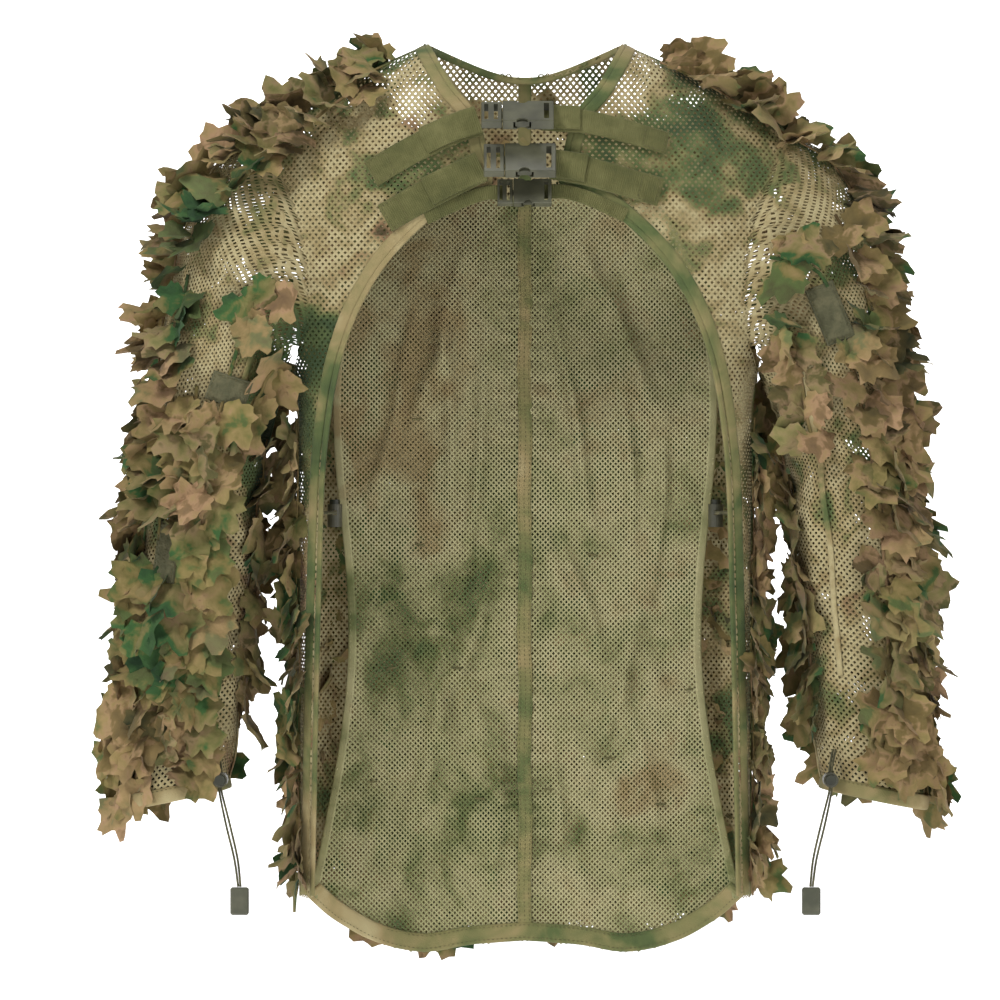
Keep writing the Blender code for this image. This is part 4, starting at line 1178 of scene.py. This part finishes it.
# %% Sewing leaves along a row
LIMITS = np.array([cad_box[0], cad_box[1]])
LIMITS = LIMITS + np.array([[-1], [1]]) * ((LIMITS[1] - LIMITS[0]) * 0.03 + 0.008)
THREAD_TINT = srgb(60, 48, 30)
PATCH_NODES = ("sleeve_patch_upper_left", "sleeve_patch_lower_left", "sleeve_patch_upper_right")
BARE_PLACES = [(Vector(low) + Vector(high)) / 2 for low, high in map(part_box, PATCH_NODES)]


def row_of_leaves(rows, path, out, spacing=0.0145, size=(0.036, 0.056), lift=(4, 42), droop=0.45, skip=0.0):
    """Notes leaves sewn along a path, to both sides of it, and the thread that holds them."""
    path, out = np.asarray(path, float), np.asarray(out, float)
    steps = np.concatenate([[0], np.cumsum(np.linalg.norm(np.diff(path, axis=0), axis=1))])
    at = draw.uniform(0, spacing)
    while at < steps[-1]:
        nearby = (0, 0.004, -0.004)
        here, there, back = (Vector([np.interp(at + d, steps, axis) for axis in path.T]) for d in nearby)
        up = Vector([np.interp(at, steps, axis) for axis in out.T]).normalized()
        ahead = (there - back).normalized()
        aside = up.cross(ahead).normalized()
        for hand in (-1, 1):
            angle = math.radians(draw.uniform(20, 110)) * hand
            way = ahead * math.cos(angle) + aside * math.sin(angle) + Vector((0, 0, -droop))
            way = (way - up * way.dot(up)).normalized()
            tilt = math.radians(draw.uniform(*lift))
            tip = way * math.cos(tilt) + up * math.sin(tilt)
            face = up * math.cos(tilt) - way * math.sin(tilt)
            roll = math.radians(draw.gauss(0, 18))
            face = face * math.cos(roll) + tip.cross(face) * math.sin(roll)
            turned = Matrix((tip.cross(face).normalized(), tip, face)).transposed().to_4x4()
            length = draw.uniform(*size)
            middle = here + up * draw.uniform(0.001, 0.007) + tip * length * 0.4
            half = 0.42 * length
            over = [
                max(0, m + half - high) - max(0, low + half - m) for m, low, high in zip(middle, *LIMITS)
            ]
            if any((middle - place).length < 0.030 for place in BARE_PLACES) or draw.random() < skip:
                continue
            turned = turned @ Matrix.Scale(length, 4)
            turned.translation = middle - tip * length * 0.4 - Vector(over)
            zone = float(ripple(here.x * 1.3 + here.y, here.z, 0.06, 77)) * 0.35
            pick = min(0.999, max(0.0, draw.random() * 0.75 + 0.125 + zone))
            tint = np.searchsorted(np.cumsum([share for share, _ in LEAF_TINTS]), pick)
            shade = draw.uniform(0.80, 1.15)
            colour = [c * shade for c in LEAF_TINTS[min(tint, len(LEAF_TINTS) - 1)][1][:3]] + [1]
            rows["leaves"].append((draw.randrange(LEAF_KINDS), turned, colour))
        at += spacing * draw.uniform(0.75, 1.3)
    rows["threads"].append((path + out * 0.0012, out))


def sew_garland(name, rows, stands_for):
    """One piece of all the leaves and threads that were noted."""
    kinds, places, colours = zip(*rows["leaves"])
    shape = bmesh.new()
    shape.from_mesh(copies_of(leaf_kinds, kinds, places))
    tints = [np.repeat(np.array(colours), len(leaf_kinds[0].vertices), axis=0)]
    for path, out in rows["threads"]:
        before = len(shape.verts)
        band(path, out, 0.0034, 0.0014, around=6, shape=shape)
        tints.append(np.tile(THREAD_TINT, (len(shape.verts) - before, 1)))
    made = add_piece(name, shape, leaf_finish, stands_for, colours=np.concatenate(tints))
    print(made.name, len(kinds), "leaves", len(made.data.polygons), "faces")


# %% Leaves on the sleeves and over the shoulders
SLEEVE_LEAVES = {"size": (0.034, 0.058), "spacing": 0.0195, "skip": 0.10}
SHOULDER_LEAVES = {"size": (0.034, 0.054), "spacing": 0.0185, "lift": (6, 56), "droop": 0.2, "skip": 0.08}
SIDE_LEAVES = {"size": (0.032, 0.050), "spacing": 0.0165, "lift": (4, 36)}
BACK_LEAVES = {"size": (0.038, 0.058), "spacing": 0.0175, "lift": (2, 24)}
SLEEVE_ROWS = {  # degrees round the sleeve, start and end of its length
    "left": [
        (14, 0.00, 0.985), (-24, 0.03, 0.98), (40, 0.00, 0.26), (46, 0.30, 0.965),
        (72, 0.42, 0.90), (100, 0.02, 0.95),
        (132, 0.02, 0.40), (-60, 0.02, 0.98), (-96, 0.03, 0.97), (-132, 0.10, 0.95), (170, 0.34, 0.88),
    ],
    "right": [
        (14, 0.00, 0.985), (-24, 0.03, 0.98), (44, 0.16, 0.965), (68, 0.34, 0.92),
        (118, 0.02, 0.44), (84, 0.02, 0.24),
        (-60, 0.02, 0.98), (-96, 0.03, 0.97), (-132, 0.10, 0.95), (168, 0.30, 0.86),
    ],
}
SHOULDER_ROWS = {
    "left": [
        (2, 0.04, 0.22), (26, 0.03, 0.22), (48, 0.06, 0.215),
        (-28, 0.03, 0.22), (-56, 0.04, 0.22), (-82, 0.08, 0.22),
    ],
    "right": [(2, 0.04, 0.22), (24, 0.03, 0.22), (-28, 0.03, 0.22), (-56, 0.04, 0.22), (-82, 0.08, 0.22)],
}
for side, sign in SIDES.items():
    rows = {"leaves": [], "threads": []}
    for degrees, start, end in SLEEVE_ROWS[side]:
        u = np.linspace(start, end, 160)
        wander = np.radians(degrees + 5 * np.sin(u * 9 + degrees))
        path, out = sleeve_cloth(u, wander, sign, 0.001)
        row_of_leaves(rows, mirrored(path, sign), mirrored(out, sign), **SLEEVE_LEAVES)
    for degrees, start, end in SHOULDER_ROWS[side]:
        u = np.linspace(start, end, 60)
        angle, off = np.full(60, math.radians(degrees)), np.full(60, 0.001)
        path, out = ring_place(SHOULDER_RINGS + SLEEVE_RINGS, u, angle, off)
        row_of_leaves(rows, mirrored(path, sign), mirrored(out, sign), **SHOULDER_LEAVES)
    sew_garland(f"sleeve_leaves_{side}", rows, f"sleeve_garland_{side}")

# %% Leaves on the sides and the back
for side, sign in SIDES.items():
    rows = {"leaves": [], "threads": []}
    for degrees, start, end in ((-10, -0.300, -0.700), (14, -0.300, -0.705), (38, -0.29, -0.71)):
        z = np.linspace(start, end, 120)
        angle = np.radians(np.full(120, degrees) + 3 * np.sin(z * 40))
        depth = np.where(angle > 0, BACK_DEPTH, FRONT_DEPTH) * hem_taper(z)
        power = 2 / CORNER_POWER
        x = through(HALF_WIDTHS, z) * np.cos(angle) ** power
        y = MIDDLE_Y + np.sign(angle) * depth * np.abs(np.sin(angle)) ** power
        out = np.stack([np.cos(angle), np.sin(angle), 0 * z], 1)
        path = np.stack([x, y, z], 1) + out * 0.003
        row_of_leaves(rows, mirrored(path, sign), mirrored(out, sign), **SIDE_LEAVES)
    sew_garland(f"side_leaves_{side}", rows, f"side_garland_{side}")

rows = {"leaves": [], "threads": []}
for x_at in np.linspace(-0.168, 0.168, 13):
    top = -0.030 if abs(x_at) < 0.06 else -0.030 - 0.15 * (abs(x_at) - 0.06)
    z = np.linspace(top, float(through(HEM, abs(x_at))) + 0.028, 180)
    x = x_at + 0.004 * np.sin(z * 30 + x_at * 90)
    path = back_cloth(np.abs(x), z, 1 if x_at >= 0 else -1)
    path[:, 0] = x
    out = outward(lambda a, b: back_cloth(np.abs(a), b), path) * -1
    row_of_leaves(rows, path + out * 0.001, out, **BACK_LEAVES)
sew_garland("back_leaves", rows, "back_garland")

# %% [markdown]
# ## Drawcords
#
# Two thin strands leave each cuff through a cord lock and end in a flat pull tab. At each side
# of the body a single cord runs from the shell, through its lock, to the lining. Each strand is
# one open curve of the real length, with a round bevel and a braided finish.

# %% Cords
CORD_COLOURS = [(0, srgb(54, 54, 40)), (0.5, srgb(78, 76, 54)), (1, srgb(104, 98, 70))]
cord_finish = cloth_finish("cord_braid", CORD_COLOURS, 0.006, weave=0.0004)
CUFF_STRAND, SIDE_CORD = 0.0020, 0.0030


def strand(name, points, diameter, stands_for=()):
    """One cord along evenly counted points, with its length."""
    path = smooth_way(points, 36)
    line = bpy.data.curves.new(name, "CURVE")
    line.dimensions = "3D"
    line.bevel_depth, line.bevel_resolution, line.use_fill_caps = diameter / 2, 3, True
    spline = line.splines.new("POLY")
    spline.points.add(len(path) - 1)
    for point, spot in zip(spline.points, path.tolist()):
        point.co = (*spot, 1)
    line.materials.append(cord_finish)
    made = bpy.data.objects.new(name, line)
    bpy.context.scene.collection.objects.link(made)
    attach(made, JACKET)
    if stands_for:
        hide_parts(stands_for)
    return made, path, float(np.linalg.norm(np.diff(path, axis=0), axis=1).sum())


CUFF_ROUTE = [(0.268, -0.1075, -0.588), (0.2655, -0.1175, -0.597), (0.264, -0.1205, -0.605)]
CUFF_ROUTE += [(0.264, -0.1205, -0.6135), (0.264, -0.1205, -0.623), (0.2575, -0.1205, -0.652)]
CUFF_ROUTE += [(0.2505, -0.1205, -0.682), (0.2475, -0.1205, -0.7061)]
HALF_GAPS = np.array([1.0, 1.0, 0.9, 0.9, 0.9, 1.5, 1.3, 0.9])  # between the two strands, by 1.1 mm
SIDE_ROUTE = [(0.180, -0.1115), (0.1715, -0.104), (0.166, -0.094), (0.166, -0.085), (0.166, -0.076)]
SIDE_ROUTE += [(0.167, -0.0453), (0.168, -0.0155)]
SIDE_CORD_Z = -0.3825
for side, sign in SIDES.items():
    for letter, shift in (("a", -1), ("b", 1)):
        spread = HALF_GAPS[:, None] * np.array([0.0011, 0, 0.0]) * shift
        route = mirrored(np.array(CUFF_ROUTE) + spread, sign)
        stands_for = f"cuff_cord_{side}" if letter == "a" else ()
        made, path, length = strand(f"cuff_cord_{side}_{letter}", route, CUFF_STRAND, stands_for)
    route = mirrored([(x, y, SIDE_CORD_Z) for x, y in SIDE_ROUTE], sign)
    made, path, side_length = strand(f"side_cord_strand_{side}", route, SIDE_CORD, f"side_cord_{side}")
print("cuff strands", round(length, 4), "m, side cords", round(side_length, 4), "m")

# %% [markdown]
# ## Patches
#
# The sleeve patches are the loop half of a hook-and-loop fastener: a pad of fine uneven pile
# with a stitched border. The pile is a dense grid pushed out by noise.

# %% Patches
PATCH_COLOURS = [(0, srgb(70, 70, 50)), (0.5, srgb(88, 87, 64)), (1, srgb(106, 102, 76))]
patch_finish = cloth_finish("patch_pile", PATCH_COLOURS, 0.02, weave=0.0005, roughness=0.97)
PATCHES = {  # side, share of the sleeve, degrees, width, height, lean in degrees
    "sleeve_patch_upper_left": (-1, 0.36, 105, 0.036, 0.026, 18),
    "sleeve_patch_lower_left": (-1, 0.66, 62, 0.022, 0.055, 3),
    "sleeve_patch_upper_right": (1, 0.26, 84, 0.026, 0.052, 22),
}
for name, (sign, u, degrees, width, height, lean) in PATCHES.items():
    low, high = (np.array(corner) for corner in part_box(name))
    middle = (low + high) / 2
    _, out = ring_place(SLEEVE_RINGS, np.array([u]), np.array([math.radians(degrees)]), np.array([0.0]))
    up = Vector(mirrored(out, sign)[0]).normalized()
    aside = Vector((0, 0, 1)).cross(up).normalized() * -1
    above = aside.cross(up).normalized()
    if above.z < 0:
        above, aside = -above, -aside
    turned = Matrix((aside, above, up)).transposed().to_4x4()
    turned = turned @ Matrix.Rotation(math.radians(lean * sign * -1), 4, "Z")
    turned.translation = Vector(middle)
    pad = bmesh.new()
    across, tall = int(width / 0.0007), int(height / 0.0007)
    bmesh.ops.create_grid(pad, x_segments=across, y_segments=tall, size=0.5)
    spots = np.array([vert.co for vert in pad.verts])
    x, y = spots[:, 0] * 2, spots[:, 1] * 2
    border = np.clip((1 - np.maximum(np.abs(x) ** 12, np.abs(y) ** 12)), 0, 1) ** 0.5
    pile = 0.0006 * ripple(spots[:, 0] * width, spots[:, 1] * height, 0.0011, 41)
    inset_line = np.maximum(np.abs(x) * width / 2 - width / 2, np.abs(y) * height / 2 - height / 2)
    frame_line = np.exp(-(((inset_line + 0.0022) / 0.0008) ** 2))
    lift = (0.0014 + pile - 0.0010 * frame_line) * border - 0.0016 * (1 - border)
    for vert, rise in zip(pad.verts, lift.tolist()):
        vert.co = (vert.co.x * width, vert.co.y * height, rise)
    bmesh.ops.transform(pad, matrix=turned, verts=pad.verts[:])
    add_piece(f"{name}_pile", pad, patch_finish, name)
    corners = [(-1, -1), (1, -1), (1, 1), (-1, 1), (-1, -1)]
    for (x0, y0), (x1, y1) in zip(corners, corners[1:]):
        reach_x, reach_y = width / 2 - 0.0022, height / 2 - 0.0022
        corner_pair = ((x0, y0), (x1, y1))
        ends = [turned @ Vector((cx * reach_x, cy * reach_y, 0.0012)) for cx, cy in corner_pair]
        line = np.linspace(np.array(ends[0]), np.array(ends[1]), 6)
        sew(line, np.tile(np.array(up), (6, 1)))
print(len(PATCHES), "patches")
shape = bmesh.new()
shape.from_mesh(copies_of([stitch_kind], [0] * len(stitches), stitches))
made = add_piece("stitches", shape, thread_finish)
print("stitches:", len(made.data.polygons), "faces")

# %% [markdown]
# ## Buckles, locks and tabs
#
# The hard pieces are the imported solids. They take a moulded plastic with a faint grain, small
# scuffs that are lighter, and a soft gloss. The springs are bright steel.

# %% Plastic and steel


def plastic(name, dark, light, roughness):
    made = bpy.data.materials.new(name)
    made.use_nodes = True
    tree = made.node_tree
    shader = tree.nodes["Principled BSDF"]
    coordinates = node(tree, "ShaderNodeTexCoord")
    cloudy = {"Vector": coordinates.outputs["Object"], "Scale": 60.0, "Detail": 5.0}
    cloud = node(tree, "ShaderNodeTexNoise", cloudy)
    ramp = node(tree, "ShaderNodeValToRGB", {"Fac": cloud.outputs[0]})
    ramp.color_ramp.elements[0].position, ramp.color_ramp.elements[1].position = 0.35, 0.7
    ramp.color_ramp.elements[0].color, ramp.color_ramp.elements[1].color = dark, light
    tree.links.new(ramp.outputs[0], shader.inputs["Base Color"])
    shader.inputs["Roughness"].default_value = roughness
    add_grain(tree, 1800.0, 2.0, 0.0002, 0.4)
    return made


buckle_finish = plastic("buckle_plastic_olive", srgb(66, 66, 50), srgb(86, 86, 66), 0.46)
prong_finish = plastic("prong_plastic_olive", srgb(56, 56, 42), srgb(74, 74, 56), 0.48)
lock_finish = plastic("lock_plastic_dark", srgb(58, 58, 44), srgb(80, 78, 62), 0.40)
plunger_finish = plastic("plunger_plastic_dark", srgb(34, 36, 26), srgb(52, 54, 40), 0.38)
tab_finish = plastic("tab_rubber", srgb(66, 68, 52), srgb(92, 92, 74), 0.55)
steel_finish = plastic("spring_steel_bright", srgb(150, 150, 150), srgb(190, 190, 190), 0.28)
steel_finish.node_tree.nodes["Principled BSDF"].inputs["Metallic"].default_value = 1.0

FINISH_BY_WORD = [
    ("prong", prong_finish),
    ("buckle", buckle_finish),
    ("plunger", plunger_finish),
    ("spring", steel_finish),
    ("lock", lock_finish),
    ("tab", tab_finish),
]
kept = []
for name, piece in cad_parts.items():
    if piece.hide_render:
        continue
    finish = next((finish for word, finish in FINISH_BY_WORD if word in name), None)
    if finish is None:
        print("no finish for", name)
        continue
    for place in piece.material_slots:
        place.material = finish
    kept.append(name)
print(len(kept), "hard pieces:", ", ".join(kept))

# %% [markdown]
# ## Sheets
#
# The size that each net was cut to is listed by kind, and each net is looked up by its name.
# Its flat area, summed where the net is made, counts the threads and not the holes, because
# the holes are open.

FLAT_SIZES = {
    "front_net": (0.20, 0.73),
    "back_net": (0.30, 0.79),
    "lining_net": (0.19, 0.66),
    "sleeve_net": (0.58, 0.61),
}
for kind, flat in FLAT_SIZES.items():
    for side in SIDES:
        net = bpy.data.objects[f"{kind}_{side}"]
